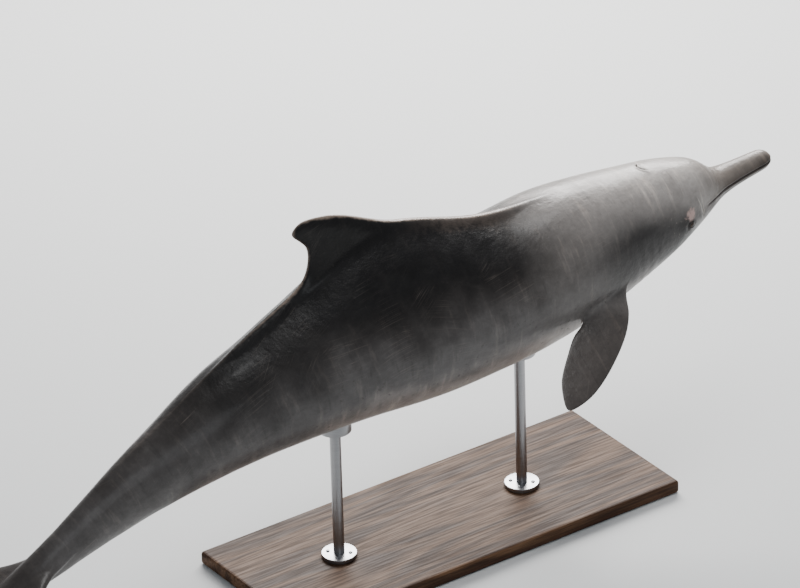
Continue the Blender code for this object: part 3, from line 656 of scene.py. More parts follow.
class Ring:
    """A closed loop of skin points, which starts round an opening of the grid and grows inwards."""

    def __init__(self, skin, columns, numbers, block):
        i0, i1, j0, j1 = block
        loop = [(i, j0) for i in range(i0, i1)] + [(i1, j) for j in range(j0, j1)]
        loop += [(i, j1) for i in range(i1, i0, -1)] + [(i0, j) for j in range(j1, j0, -1)]
        self.skin = skin
        self.cells = np.array(loop)
        self.places = np.array([(columns[i], j) for i, j in loop], float)
        self.numbers = [numbers[i - 1, j] for i, j in loop]
        self.map = loop_map(self.places)

    def grow(self, points, new_map, **extra):
        """Joins the loop to new points inside it, which take its place."""
        numbers = self.skin.add(points, **extra)
        self.skin.band(self.numbers, numbers, self.map, new_map)
        self.numbers, self.map = numbers, new_map

    def close(self, point, place, **extra):
        """Closes the loop with a point at a place of the UV map."""
        tip = self.skin.add(point, **extra)[0]
        self.skin.fan(self.numbers, tip, self.map, [place] * len(self.numbers))


def block_round(columns, station, row, size):
    """Cells left open round a place: first and last column, first and last row."""
    before, after, half = size
    start, end = (int(np.argmin(np.abs(columns - station - step))) for step in (before, after))
    return start, end, row - half, row + half


def on_side(block, side):
    """The block itself for the right side, -1, or its mirror image for the left."""
    i0, i1, j0, j1 = block
    return block if side < 0 else (i0, i1, ROWS - j1, ROWS - j0)


def row_at_height(s, z):
    """The row on the right side where the skin at station s stands at height z."""
    rows = np.linspace(ROWS * 0.15, ROWS * 0.45, 2000)
    return float(np.interp(z, grid_point(s, rows)[:, 2], rows))


def metres_per_row(s, row):
    return float(np.linalg.norm(grid_point(s, row + 0.5) - grid_point(s, row - 0.5)))


def add_grid(skin, columns, blocks):
    """The body's grid, left open over the blocks. Returns its point numbers, one line a column."""
    rows = np.arange(ROWS + 1)
    s, row = np.meshgrid(columns[1:], rows[:-1], indexing="ij")
    numbers = skin.add(grid_point(s, row)).reshape(s.shape)
    nose = skin.add(grid_point(0.0, 0.0))[0]
    notch = skin.add(grid_point(LENGTH, rows[:-1]).mean(axis=0))[0]
    left_out = np.zeros((len(columns), ROWS), bool)
    for i0, i1, j0, j1 in blocks:
        left_out[i0:i1, j0:j1] = True

    def ends(s, beyond):
        return [body_map(s, j) for j in rows], [body_map(beyond, j + 0.5) for j in rows]

    skin.fan(numbers[0], nose, *ends(columns[1], 0.0))
    for i, j in np.ndindex(len(columns) - 1, ROWS):
        if i == 0 or left_out[i, j]:
            continue
        cells = ((i, j), (i + 1, j), (i + 1, j + 1), (i, j + 1))
        ring = [numbers[k - 1, r % ROWS] for k, r in cells]
        skin.face(ring, [body_map(columns[k], r) for k, r in cells])
    skin.fan(numbers[-1], notch, *ends(LENGTH, LENGTH + 0.01))
    return numbers


# ---------------- eyes
EYE_ROW = row_at_height(EYE_STATION, EYE_HEIGHT)


def eye_row(side):
    return EYE_ROW if side < 0 else ROWS - EYE_ROW


def eye_frame(side):
    """Centre of an eyeball and its outward, rearward and upward axes, straight; side +1 is left."""
    row = eye_row(side)
    centre = grid_point(EYE_STATION, row) - np.array([0, side * EYE_DEPTH, 0])
    rearward = unit(grid_point(EYE_STATION + 0.006, row) - grid_point(EYE_STATION - 0.006, row))
    upward = unit(grid_point(EYE_STATION, row - 2 * side) - grid_point(EYE_STATION, row + 2 * side))
    outward = unit(np.cross(rearward, upward))
    return centre, outward * side * np.sign(outward[1]), rearward, unit(np.cross(outward, rearward))


def lid_outline(places, side):
    """Grid places of the slit between the lids, one for each place around its opening."""
    row = eye_row(side)
    _, reach, half = EYE_BLOCK
    turn = np.arctan2((places[:, 1] - row) * -side / half, (places[:, 0] - EYE_STATION) / reach)
    length, height = EYE_OPENING
    rise = height * np.sin(turn) * np.abs(np.sin(turn)) ** 0.35
    # The upper lid arches, the lower one is flatter, and the front corner dips a little.
    rise = rise * np.where(rise < 0, LOWER_LID, 1.0) + EYE_FRONT_DIP * np.cos(turn)
    rows = row - side * rise / metres_per_row(EYE_STATION, row)
    return np.stack([EYE_STATION + length * np.cos(turn), rows], axis=1)


def past_slit(along, up, wider=0.0):
    """How far places beside the eye lie outside the slit, or outside one that much wider."""
    length, height = EYE_OPENING[0] + wider, EYE_OPENING[1] + wider
    return (np.hypot(along / length, up / height) - 1) * height


def over_lid(points, centre, share):
    """Moves skin out to clear the eyeball and then in to lie on it; share runs from 0 to 1 at the slit."""
    arm = points - centre
    reach = np.linalg.norm(arm, axis=1, keepdims=True)
    lid = EYE_RADIUS + LID_THICKNESS
    clear = (lid - reach + np.hypot(reach - lid, LID_SOFTNESS)) / 2 * ease(share, *LID_CLEARING) + reach
    return centre + arm / reach * (clear + (lid - clear) * ease(share, *LID_SETTLING))


def add_lids(ring, side):
    middle = np.array([EYE_STATION, eye_row(side)])
    places, outline = ring.places, lid_outline(ring.places, side)
    centre, axis, _, _ = eye_frame(side)
    row_height = metres_per_row(*middle)
    for x in np.linspace(0, 1, LID_RINGS + 1)[1:]:
        share = 1 - (1 - x) ** LID_CROWDING
        now = places + (outline - places) * share
        along, up = (now - middle).T * [[1], [-side * row_height]]
        near_lid = 1 - np.clip(past_slit(along, up) / LID_REACH, 0, 1)
        near_lid += (1 - near_lid) * ease(share, 0.85, 1.0)
        points = over_lid(grid_point(*now.T), centre, near_lid[:, None])
        push = np.full(len(now), LID_BEAD * math.exp(-((share - 0.95) / 0.04) ** 2))
        for away, width, above, below in LID_FOLDS:
            depth = np.where(up > 0, above, below) * ease(np.abs(up), 0, (EYE_OPENING[1] + away) * 0.8)
            push += groove(past_slit(along, up, away), depth, width)
        ring.grow(points, loop_map(now), push=push)
    # The lid's rounded edge, and its inner face, which lines the socket behind the eyeball.
    arm = unit(points - centre)
    tilt = np.arccos(np.clip(arm @ axis, -1, 1))
    away = unit(arm - np.outer(np.cos(tilt), axis))
    inner = EYE_RADIUS + EYE_GAP
    curl = LID_CURL / EYE_RADIUS
    last = LID_EDGE_RINGS + SOCKET_RINGS
    for q in range(1, last + 1):
        edge = min(q / LID_EDGE_RINGS, 1) * np.pi / 2
        radius = inner + (EYE_RADIUS + LID_THICKNESS - inner) * math.cos(edge)
        angle = tilt - curl * math.sin(edge)
        angle += (np.pi - angle) * (max(q - LID_EDGE_RINGS, 0) / (SOCKET_RINGS + 1)) ** 1.2
        points = centre + radius * (np.outer(np.cos(angle), axis) + np.sin(angle)[:, None] * away)
        ring.grow(points, loop_map(middle + (outline - middle) * (1 - q / (last + 2))), fixed=1.0)
    ring.close(centre - inner * axis, body_map(*middle), fixed=1.0)


# ---------------- blowhole
def add_blowhole(ring, block):
    half = (block[3] - block[2]) / 2
    places = ring.places
    front, rear = places[:, 0].min(), places[:, 0].max()
    across = (places[:, 0] - (front + rear) / 2) / ((rear - front) / 2)
    turn = np.arctan2((places[:, 1] - ROWS / 2) / half, across)
    behind = np.abs(turn) <= np.pi / 2
    spread = np.where(behind, turn, np.sign(turn) * (np.pi - np.abs(turn))) / (np.pi / 2)
    arc = spread * BLOWHOLE_HALF_ANGLE
    width = BLOWHOLE_HALF_WIDTH * np.sqrt(np.clip(1 - spread**2, 0, 1)) * np.where(behind, 1, -1)
    middle = BLOWHOLE_STATION - BLOWHOLE_RADIUS
    scale = metres_per_row(BLOWHOLE_STATION, ROWS / 2)
    ahead, after = (grid_point(BLOWHOLE_STATION + step, ROWS / 2) for step in (-0.01, 0.01))
    down = unit(np.cross(after - ahead, [0, 1.0, 0]))
    down = down * -np.sign(down[2])

    def slit(openness):
        radius = BLOWHOLE_RADIUS + width * openness
        return np.stack([middle + radius * np.cos(arc), ROWS / 2 + radius * np.sin(arc) / scale], axis=1)

    outline = slit(1.0)
    lip, away, lip_width = BLOWHOLE_LIP
    for x in np.linspace(0, 1, BLOWHOLE_RINGS + 1)[1:]:
        now = places + (outline - places) * (1 - (1 - x) ** BLOWHOLE_CROWDING)
        points = grid_point(*now.T)
        back, aside = points[:, 0] - middle, points[:, 1]
        angle = np.abs(np.arctan2(aside, back))
        past = np.maximum(angle - BLOWHOLE_HALF_ANGLE, 0) * BLOWHOLE_RADIUS
        apart = np.hypot(np.hypot(back, aside) - BLOWHOLE_RADIUS, past)
        ends = ease(angle / BLOWHOLE_HALF_ANGLE, 0.70, 1.20)
        push = groove(apart - away, -lip * (1 - 0.7 * ends), lip_width)
        ring.grow(points, loop_map(now), push=push)
    for depth, openness in BLOWHOLE_WALL:
        now = slit(openness)
        ring.grow(grid_point(*now.T) + down * depth * BLOWHOLE_DEPTH, loop_map(now), fixed=1.0)


# ---------------- flippers
def flipper_ring(share, turn, side):
    """Points of the flipper's section at a share of the way to its tip; turn 0 is its front edge."""
    front_s, front_out, rear_s, rear_out, thick = FLIPPER.at(share)
    rounding = math.sqrt(1 - np.clip((share - FLIPPER_TIP) / (1 - FLIPPER_TIP), 0, 1) ** 2)
    middle = (1 - rounding * np.cos(turn)) / 2
    back = front_s + (rear_s - front_s) * middle
    out = front_out + (rear_out - front_out) * middle
    depth = rounding * np.sin(turn) * (1 + FLIPPER_FORWARD * np.cos(turn)) * thick / 2
    s, y, z = FLIPPER_ROOT
    y = y + out * math.cos(FLIPPER_DROOP) + depth * math.sin(FLIPPER_DROOP)
    z = z - out * math.sin(FLIPPER_DROOP) + depth * math.cos(FLIPPER_DROOP)
    return np.stack([s + back, side * y, z], axis=1)


def flipper_turns(cells, block, side):
    """The turn around the flipper that belongs to each point around its opening."""
    i0, i1, j0, j1 = block
    i, j = cells.T
    edge = FLIPPER_CORNER
    chord = np.arccos(1 - 2 * (edge + (1 - 2 * edge) * (i - i0) / (i1 - i0)))
    across = (1 - 2 * (j - j0) / (j1 - j0)) * math.acos(1 - 2 * edge)
    turns = np.where(j == j0, chord, -chord)
    turns = np.where(i == i0, across, np.where(i == i1, -math.pi - across, turns))
    return turns * side


def add_flipper(ring, block, side):
    count = len(ring.numbers)
    turn = flipper_turns(ring.cells, block, side)
    foot = grid_point(*ring.places.T)
    outer = ring.places + (ring.places - ring.places.mean(axis=0)) * 0.08
    leave = unit(foot - grid_point(*outer.T))
    start = FLIPPER_JOINED
    goal = flipper_ring(start, turn, side)
    arrive = unit(flipper_ring(start + 0.03, turn, side) - goal)
    span = np.linalg.norm(goal - foot, axis=1, keepdims=True)
    leaving, arriving = FLIPPER_PULLS
    rings = []
    for t in np.linspace(0, 1, FLIPPER_ROOT_RINGS + 1)[1:]:
        here = 2 * t**3 - 3 * t**2 + 1
        point = here * foot + (1 - here) * goal
        point = point + (t**3 - 2 * t**2 + t) * span * leave * leaving
        point = point + (t**3 - t**2) * span * arrive * arriving
        rings.append((point, start * t))
    for x in np.linspace(0, np.pi / 2, FLIPPER_RINGS + 2)[1:-1]:
        share = start + (1 - start) * math.sin(x)
        rings.append((flipper_ring(share, turn, side), share))

    def island(level):
        left = 0.03 if side < 0 else 0.53
        return [(left + 0.42 * level, 0.02 + 0.19 * k / count) for k in range(count + 1)]

    ring.map = island(0.0)
    for k, (points, share) in enumerate(rings):
        after_map = island((k + 1) / (len(rings) + 1))
        ring.grow(points, after_map, reach=max(share, 0.001), fixed=ease(share, 0.0, start))
    tip = flipper_ring(1.0, turn, side).mean(axis=0)
    ring.close(tip, island(1.0)[count // 2], reach=1.0, fixed=1.0)


# ---------------- folds and unevenness
def soft_noise(points, size, seed):
    """Smooth noise from -1 to 1 with features of about the given size."""
    scaled = points / size
    cell = np.floor(scaled)
    part = scaled - cell
    part = part * part * (3 - 2 * part)
    total = np.zeros(len(points))
    for corner in np.ndindex(2, 2, 2):
        weight = np.prod(np.where(np.array(corner) == 1, part, 1 - part), axis=1)
        mixed = np.sin((cell + np.array(corner)) @ np.array([127.1, 311.7, 74.7]) + seed * 17.3) * 43758.5453
        total += weight * (mixed - np.floor(mixed))
    return 2 * total - 1


def groove(distance, depth, width):
    """How far the skin moves out at a distance from a groove's middle; a negative depth is a swelling."""
    return -depth * np.exp(-((distance / width) ** 2))


def bead(distance, height, away, width):
    """The same for a swelling that runs beside a groove, at some distance from its middle."""
    return groove(distance - away, -height, width)


def mouth_folds(s, z, widest, level):
    """Mouth line with full lips, the crease round the melon's foot and the fold behind the mouth."""
    mouth = z - widest
    out = groove(mouth, *MOUTH_GROOVE) + bead(np.abs(mouth), *MOUTH_LIPS)
    out *= 1 - ease(s, MOUTH_END - MOUTH_FADE, MOUTH_END)
    crease = s - (CREASE_STATION + CREASE_SLANT * (1 - np.clip(level, 0, 1)) ** 1.5)
    out += groove(crease, *CREASE_GROOVE) * ease(level, *CREASE_ONSET)
    depth, away, width = CREASE_ECHO
    out += groove(crease - away, depth, width) * ease(level, *CREASE_ECHO_ONSET)
    drop = z - CORNER_HEIGHT
    corner = s - (CORNER_STATION - CORNER_BEND * drop**2)
    fold = groove(corner, *CORNER_GROOVE) + bead(corner, *CORNER_BEAD)
    return out + fold * (1 - ease(np.abs(drop), *CORNER_FADE))


def folds(straight):
    """How far the skin moves out at each straight point."""
    s, y, z = straight.T
    top, _, width, widest, _, _ = section(s)
    level = np.clip((z - widest) / np.maximum(top - widest, 0.001), -1, 1)
    out = mouth_folds(s, z, widest, level)
    # Folds round the neck, deepest under the throat.
    wander = NECK_FOLD_WANDER * soft_noise(straight, 0.09, 3)
    for station, depth in NECK_FOLDS:
        patchy = 0.6 + 0.4 * soft_noise(straight, 0.05, int(station * 1000))
        place = s - station - NECK_FOLD_SLANT * (z + 0.05) + wander
        out += groove(place, depth, NECK_FOLD_WIDTH) * (1 - ease(z, *NECK_FOLD_FADE)) * patchy
    share, away, lip_width = SLIT_LIPS
    for start, end, depth in BELLY_SLITS:
        slit = groove(y, depth, SLIT_WIDTH) + bead(np.abs(y), share * depth, away, lip_width)
        out += slit * over(s, (start, start + 0.02, end - 0.02, end)) * (z < 0)
    # Low, soft unevenness of flesh.
    sideways = np.clip(np.abs(y) / np.maximum(width, 0.001), 0, 1)
    rough = sum(height * soft_noise(straight, size, seed) for height, size, seed in UNEVENNESS)
    out += rough * ease(sideways + np.abs(level), 0.1, 0.4)
    # None of it at the eyes and the blowhole, which have their own.
    eye = np.hypot(s - EYE_STATION, z - EYE_HEIGHT) + 10 * (np.abs(y) < 0.04)
    hole = np.hypot(s - BLOWHOLE_STATION + 0.006, y) + 10 * (z < 0)
    return out * ease(eye, *EYE_CLEAR) * ease(hole, *BLOWHOLE_CLEAR)


# ---------------- making objects
def link(name, data):
    made = bpy.data.objects.new(name, data)
    bpy.context.scene.collection.objects.link(made)
    return made


def new_piece(name, mesh, material, nodes):
    """Links a finished mesh as a visible piece that rides on the model and replaces CAD nodes."""
    mesh.name = name
    mesh.materials.clear()
    mesh.materials.append(material)
    piece = link(name, mesh)
    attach(piece, "root")
    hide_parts(*nodes)


def add_values(mesh, name, values):
    """A point attribute of numbers or of vectors."""
    kind, key = ("FLOAT", "value") if values.ndim == 1 else ("FLOAT_VECTOR", "vector")
    made = mesh.attributes.new(name, kind, "POINT")
    made.data.foreach_set(key, values.astype(np.float32).ravel())


def read_values(source, key, size=1):
    """The values of a mesh's collection, one for each point or three."""
    values = np.empty(len(source) * size, np.float32)
    source.foreach_get(key, values)
    return values.astype(float) if size == 1 else values.reshape(-1, size).astype(float)


def crest_distance(straight):
    """How far skin points lie from the dorsal edge, counted on the skin; large away from the hump."""
    s, y, z = straight.T
    away = np.minimum(depth_from(EDGE_FRONT, s, z), depth_from(EDGE_REAR, s, z))
    return np.where(z > 0, np.hypot(away, y), 1.0)


def unrolled(straight):
    """The skin laid flat from the line of the back: station and signed distance round the body."""
    s, y, z = straight.T
    top, bottom, width, widest, _, _ = section(s)
    round_ = np.arctan2(np.abs(y), z - widest) * (top + bottom + width) / 3
    round_ = round_ - np.maximum(z - top, 0)
    return np.stack([s, np.where(y < 0, -round_, round_), 0 * s], axis=1)


def raw_skin():
    """The mesh of the straight skin, welded and closed, without its folds."""
    columns = stations()
    eye = block_round(columns, EYE_STATION, round(EYE_ROW), EYE_BLOCK)
    root, _, height = FLIPPER_ROOT
    flipper = block_round(columns, root, round(row_at_height(root, height)), FLIPPER_BLOCK)
    hole = block_round(columns, BLOWHOLE_STATION, ROWS // 2, BLOWHOLE_BLOCK)
    blocks = [on_side(block, side) for side in (-1, 1) for block in (eye, flipper)]
    skin = Skin()
    numbers = add_grid(skin, columns, blocks + [hole])
    rings = [Ring(skin, columns, numbers, block) for block in blocks]
    for k, side in ((0, -1), (2, 1)):
        add_lids(rings[k], side)
        add_flipper(rings[k + 1], blocks[k + 1], side)
    add_blowhole(Ring(skin, columns, numbers, hole), hole)
    mesh = skin.mesh()
    shape = bmesh.new()
    shape.from_mesh(mesh)
    loose = [vert for vert in shape.verts if not vert.link_faces]
    bmesh.ops.delete(shape, geom=loose, context="VERTS")
    bmesh.ops.remove_doubles(shape, verts=shape.verts, dist=0.000001)
    finish_mesh(shape, mesh)
    return mesh


def finish_mesh(shape, mesh):
    """Writes a closed shape to a mesh, its faces turned out."""
    shape.normal_update()
    bmesh.ops.recalc_face_normals(shape, faces=shape.faces)
    shape.to_mesh(mesh)
    shape.free()


def skin_mesh():
    mesh = raw_skin()
    straight = read_values(mesh.vertices, "co", 3)
    normals = read_values(mesh.vertex_normals, "vector", 3)
    push, fixed = (read_values(mesh.attributes[name].data, "value") for name in ("push", "fixed"))
    lift = (folds(straight) + push) * (1 - fixed)
    straight = straight + normals * lift[:, None]
    add_values(mesh, "straight", straight)
    add_values(mesh, "crest", crest_distance(straight))
    add_values(mesh, "mouth", straight[:, 2] - section(straight[:, 0])[3])
    add_values(mesh, "unrolled", unrolled(straight))
    mesh.vertices.foreach_set("co", placed(straight).astype(np.float32).ravel())
    for name in ("push", "fixed"):
        mesh.attributes.remove(mesh.attributes[name])
    mesh.flip_normals()
    mesh.update()
    mesh.shade_smooth()
    return mesh


# ---------------- materials
class Value:
    """A number, vector or colour that a material works out at each point."""

    def __init__(self, nodes, socket):
        self.nodes = nodes
        self.socket = socket

    def __add__(self, other):
        return self.nodes.math("ADD", self, other)

    def __sub__(self, other):
        return self.nodes.math("SUBTRACT", self, other)

    def __mul__(self, other):
        return self.nodes.math("MULTIPLY", self, other)

    def __truediv__(self, other):
        return self.nodes.math("DIVIDE", self, other)


class Nodes:
    """Short calls that add shader nodes to one material. Its colour is laid on in coats."""

    def __init__(self, name, colour=None):
        self.material = bpy.data.materials.new(name)
        self.material.use_nodes = True
        self.tree = self.material.node_tree
        self.colour = colour

    def plug(self, value, socket):
        if isinstance(value, Value):
            self.tree.links.new(value.socket, socket)
        elif socket.type == "RGBA":
            socket.default_value = (*value, 1.0)
        else:
            socket.default_value = value

    def add(self, kind, inputs=(), output=0, **settings):
        """Adds a node with these inputs, by place or name, and returns one of its outputs."""
        node = self.tree.nodes.new("ShaderNode" + kind)
        for name, value in settings.items():
            setattr(node, name, value)
        for key, value in dict(inputs).items():
            self.plug(value, node.inputs[key])
        return Value(self, node.outputs[output])

    def attribute(self, name, output="Fac"):
        return self.add("Attribute", output=output, attribute_name=name)

    def math(self, kind, *values):
        return self.add("Math", enumerate(values), operation=kind)

    def hypot(self, a, b):
        return self.math("SQRT", a * a + b * b)

    def between(self, value, low, high, to_low=0.0, to_high=1.0):
        """A smooth step of value from low to high, sent to the range to_low to to_high."""
        inputs = enumerate((value, low, high, to_low, to_high))
        return self.add("MapRange", inputs, interpolation_type="SMOOTHSTEP")

    def near(self, place, width):
        """1 where the value place is 0, falling to 0 over the width on both sides."""
        return self.between(self.math("ABSOLUTE", place), width, 0.0)

    def mix(self, share, a, b, kind="MIX"):
        return self.add("Mix", {0: share, 6: a, 7: b}, 2, data_type="RGBA", blend_type=kind)

    def lay(self, share, colour):
        """Lays a colour over what is there, by a share from 0 to 1."""
        self.colour = self.mix(share, self.colour, colour)

    def tint(self, share, factor):
        """Multiplies what is there by a factor for each of red, green and blue."""
        self.colour = self.mix(share, self.colour, factor, "MULTIPLY")

    def split(self, vector):
        node = self.add("SeparateXYZ", {0: vector}).socket.node
        return [Value(self, socket) for socket in node.outputs]

    def join(self, *values):
        return self.add("CombineXYZ", enumerate(values))

    def scaled(self, vector, scale):
        return self.add("VectorMath", {0: vector, 1: scale}, operation="MULTIPLY")

    def noise(self, vector, scale, detail=2.0, roughness=0.5, distortion=0.0):
        inputs = {"Vector": vector, "Scale": scale, "Detail": detail}
        inputs |= {"Roughness": roughness, "Distortion": distortion}
        return self.add("TexNoise", inputs)

    def swing(self, *settings):
        """The same noise, moved to lie about 0."""
        return self.noise(*settings) - 0.5

    def bump(self, height, distance, strength, under=None):
        inputs = {"Strength": strength, "Distance": distance, "Height": height}
        if under:
            inputs["Normal"] = under
        return self.add("Bump", inputs)

    def finish(self, roughness, normal=None, **constants):
        """Plugs all into the shader; a constant is named as its socket is, with _ for a space."""
        shader = self.tree.nodes["Principled BSDF"]
        inputs = {"Base Color": self.colour, "Roughness": roughness}
        if normal:
            inputs["Normal"] = normal
        for name, value in constants.items():
            inputs[name.replace("_", " ")] = value
        for name, value in inputs.items():
            self.plug(value, shader.inputs[name])
        return self.material


class SkinNodes(Nodes):
    """Nodes of the skin, with the places and the noises that its markings share."""

    def __init__(self):
        super().__init__("humpback_dolphin_skin")
        self.place = self.attribute("straight", "Vector")
        self.s, self.y, self.z = self.split(self.place)
        self.flat = self.attribute("unrolled", "Vector")
        self.broad = self.swing(self.place, 3.6, 3.0)
        self.cloud = self.swing(self.place, 13.0, 4.0, 0.6)
        self.grain = self.swing(self.place, 70.0, 4.0, 0.65)
        self.streak = self.swing(self.scaled(self.flat, (48.0, 7.0, 1.0)), 1.0, 4.0, 0.6)
        # Height for the counter-shading, warped so that its borders wander.
        self.height = self.z + self.broad * 0.15 + self.cloud * 0.06
        # 1 on the head's sides, 0 on the midline.
        self.side = self.between(self.math("ABSOLUTE", self.y), 0.05, 0.07)


def colour_body(n):
    """Counter-shading, with a pale head whose extra lightness is painted sheen, and a dark hump whose
    near-black is partly painted shade.
    """
    n.colour = n.mix(n.between(n.height, -0.06, 0.12), FLANK, BACK)
    # Paler head, lightened further as a painted sheen.
    n.lay(n.between(n.s, 1.00, 0.34), HEAD_PALE_AND_SHEEN)
    # The hump's own dark skin, made near-black as painted shade.
    dark = n.between(n.s + n.broad * 0.25, 0.74, 0.98) * n.between(n.s, 2.05, 1.60)
    n.lay(dark * n.between(n.height, -0.03, 0.15) * 0.95, HUMP_DARK_AND_SHADE)
    n.lay(n.between(n.s, 0.310, 0.150), BEAK)
    n.lay(n.between(n.height, -0.055, -0.160) * 0.85, BELLY)


def colour_head(n):
    """Painted shade: the darkened underside of the beak, and the darkened side of the head behind the eye,
    whose front border is rounded.
    """
    # Painted shade under the beak and the lower jaw.
    below = n.z + n.cloud * 0.022 - n.between(n.s, 0.10, 0.03, 0.0, 0.008)
    n.lay(n.between(below, 0.023, -0.008) * n.between(n.s, 0.35, 0.24) * 0.90, BEAK_UNDER_SHADE)
    # Painted shade on the side of the head behind and below the eye, stronger on the right side.
    bend = n.height - 0.02
    cheek_shade = n.between(n.s - bend * bend * 5.0 + n.cloud * 0.12, 0.260, 0.370)
    cheek_shade = cheek_shade * n.between(n.s, 0.84, 0.54) * n.between(n.height, 0.160, 0.034)
    cheek_shade = cheek_shade * n.between(n.height, -0.14, -0.05)
    n.lay(cheek_shade * n.between(n.y, 0.06, -0.06, 0.80, 0.95), CHEEK_SHADE)


def mottle(n):
    """Mottling, streaks down the sides, dark flecks low on them and pale ones on the head."""
    n.tint(n.between(n.cloud, -0.22, 0.22, 0.0, 0.50), (0.50, 0.49, 0.49))
    n.tint(n.between(n.streak, 0.02, 0.24, 0.0, 0.42), (2.1, 2.0, 1.9))
    n.tint(n.between(n.streak, -0.06, -0.26, 0.0, 0.45), (0.45, 0.45, 0.45))
    n.tint(n.between(n.grain, -0.25, 0.25, 0.0, 0.40), (0.62, 0.60, 0.60))
    patchy = n.between(n.noise(n.place, 6.0, 2.0), 0.46, 0.62)
    fleck = n.between(n.noise(n.place, 66.0, 2.0, 0.65), 0.62, 0.70) * patchy
    n.lay(fleck * n.between(n.height, 0.05, -0.10, 0.15, 0.65), BACK)
    speck = n.between(n.noise(n.place, 120.0, 1.0), 0.66, 0.76) * n.between(n.broad, 0.0, 0.20)
    n.lay(speck * n.between(n.s, 0.9, 0.3, 0.05, 0.45), SCAR)


def scratch(n):
    """Old scratches and the rakes of teeth: sets of thin lines, in patches."""
    station, round_, _ = n.split(n.flat)
    for degrees, length, spacing, seed, weight in SCRATCHES:
        c, s = math.cos(math.radians(degrees)), math.sin(math.radians(degrees))
        along = (station * c + round_ * s) / length
        across = (round_ * c - station * s) / spacing
        lines = n.near(n.swing(n.join(along, across, seed), 1.0, 1.0), 0.020)
        patch = n.noise(n.join(station, round_, seed + 3.7), 4.5, 3.0, 0.6)
        n.lay(lines * n.between(patch, 0.56, 0.72) * weight, SCAR)


def wear_and_light_edges(n):
    """Paler skin along the top of the hump and on the edge of the fin, partly worn skin and partly painted
    rim light; a painted rim light on the beak's tip.
    """
    crest = n.attribute("crest")
    rough = n.cloud + n.grain
    # Lighter top at the hump's front, partly worn skin and partly painted light.
    brow_wear_and_light = n.between(crest + rough * 0.070, 0.060, 0.005) * n.between(n.s, 1.16, 0.98)
    n.lay(brow_wear_and_light * n.between(n.s, 0.74, 0.92) * 0.60, BROW_WEAR_AND_LIGHT)
    # Pale rim along the hump's top and the fin's edge, partly worn skin and partly painted rim light.
    rim_distance = crest + rough * 0.010 + n.between(n.s, 1.30, 1.40, 0.0, 0.004)
    rim_wear_and_light = n.between(rim_distance, 0.011, 0.003) * n.between(n.s, 0.74, 0.92)
    n.lay(rim_wear_and_light * n.between(n.s, 1.64, 1.36, 0.10, 1.0) * 0.70, RIM_WEAR_AND_LIGHT)
    # Painted rim light on the beak's tip.
    n.lay(n.between(n.s, 0.020, 0.0) * n.between(n.z, -0.02, 0.01) * 0.6, RIM_WEAR_AND_LIGHT)


def mark_face(n):
    """Pale patch over the eye, pale lines over the mouth's corner, dark skin round eye and lips."""
    ahead = n.s - EYE_STATION
    above = n.z - EYE_HEIGHT
    patch = n.hypot(ahead * 0.85, above - 0.026) + (n.cloud + n.grain + n.streak) * 0.034
    patch = n.between(patch, 0.021, 0.008) * n.between(n.y, 0.05, -0.05, 0.12, 1.0)
    n.lay(patch * n.side * 0.75, PINK)
    for start, slope, width in CORNER_LINES:
        line = n.near(n.s - (n.z * slope + start) + n.cloud * 0.010, width)
        line = line * n.between(n.z, -0.012, 0.002) * n.between(n.z, 0.058, 0.038)
        n.lay(line * n.side * 0.80, CREASE)
    ring = n.hypot(ahead, above * 1.4) + n.cloud * 0.008
    n.lay(n.between(ring, 0.024, 0.012) * n.side * 0.85, DARK)
    lips = n.near(n.attribute("mouth"), 0.0020) * n.between(n.s, MOUTH_END, MOUTH_END - MOUTH_FADE)
    n.lay(lips * 0.75, DARK)


def skin_material():
    n = SkinNodes()
    colour_body(n)
    colour_head(n)
    # Flippers and flukes are dark above and below.
    fins = n.math("MAXIMUM", n.between(n.attribute("reach"), 0.0, 0.25), n.between(n.s, 2.22, 2.36))
    n.lay(fins * 0.90, BACK)
    mottle(n)
    scratch(n)
    wear_and_light_edges(n)
    mark_face(n)
    normal = n.bump(n.noise(n.place, 40.0, 3.0, 0.5), 0.0045, 0.40)
    normal = n.bump(n.noise(n.place, 130.0, 2.0, 0.5), 0.0010, 0.50, normal)
    normal = n.bump(n.noise(n.place, 300.0, 3.0, 0.55), 0.0004, 0.6, normal)
    rough = n.between(n.noise(n.place, 24.0, 4.0, 0.6), 0.25, 0.75, 0.30, 0.48)
    return n.finish(rough, normal, Coat_Weight=0.14, Coat_Roughness=0.14, Specular_IOR_Level=0.22)


def eye_material():
    n = Nodes("dolphin_eye")
    place = n.attribute("look", "Vector")
    along, up, _ = n.split(place)
    streak = n.noise(n.scaled(place, (30.0, 30.0, 4.0)), 1.0, 3.0)
    n.colour = n.mix(n.between(streak, 0.3, 0.7), (0.022, 0.011, 0.006), (0.055, 0.029, 0.015))
    pupil = n.hypot(along * 0.75, (up + 0.04) * 1.7)
    n.lay(n.between(pupil, 0.30, 0.24), (0.003, 0.003, 0.004))
    n.lay(n.between(n.hypot(along, up), 0.56, 0.62), (0.030, 0.020, 0.016))
    rough = n.between(streak, 0.2, 0.8, 0.05, 0.10)
    return n.finish(rough, Coat_Weight=0.7, Coat_Roughness=0.02, Specular_IOR_Level=0.15)


def wood_material():
    n = Nodes("stand_wood")
    place = n.add("TexCoord", output="Object")
    bent = n.noise(n.scaled(place, (0.8, 6.0, 6.0)), 1.0, 3.0, 0.5, 0.6)
    grain = n.noise(n.scaled(place, (7.0, 170.0, 170.0)), 1.0, 4.0, 0.6)
    rings = n.math("PINGPONG", bent * 14.0, 1.0)
    n.colour = n.mix(n.between(rings, 0.0, 1.0), (0.052, 0.024, 0.012), (0.150, 0.078, 0.040))
    n.lay(n.between(grain, 0.40, 0.64, 0.0, 0.60), (0.020, 0.009, 0.005))
    rough = n.between(grain, 0.3, 0.7, 0.50, 0.66)
    return n.finish(rough, n.bump(grain, 0.0003, 0.5), Specular_IOR_Level=0.16)


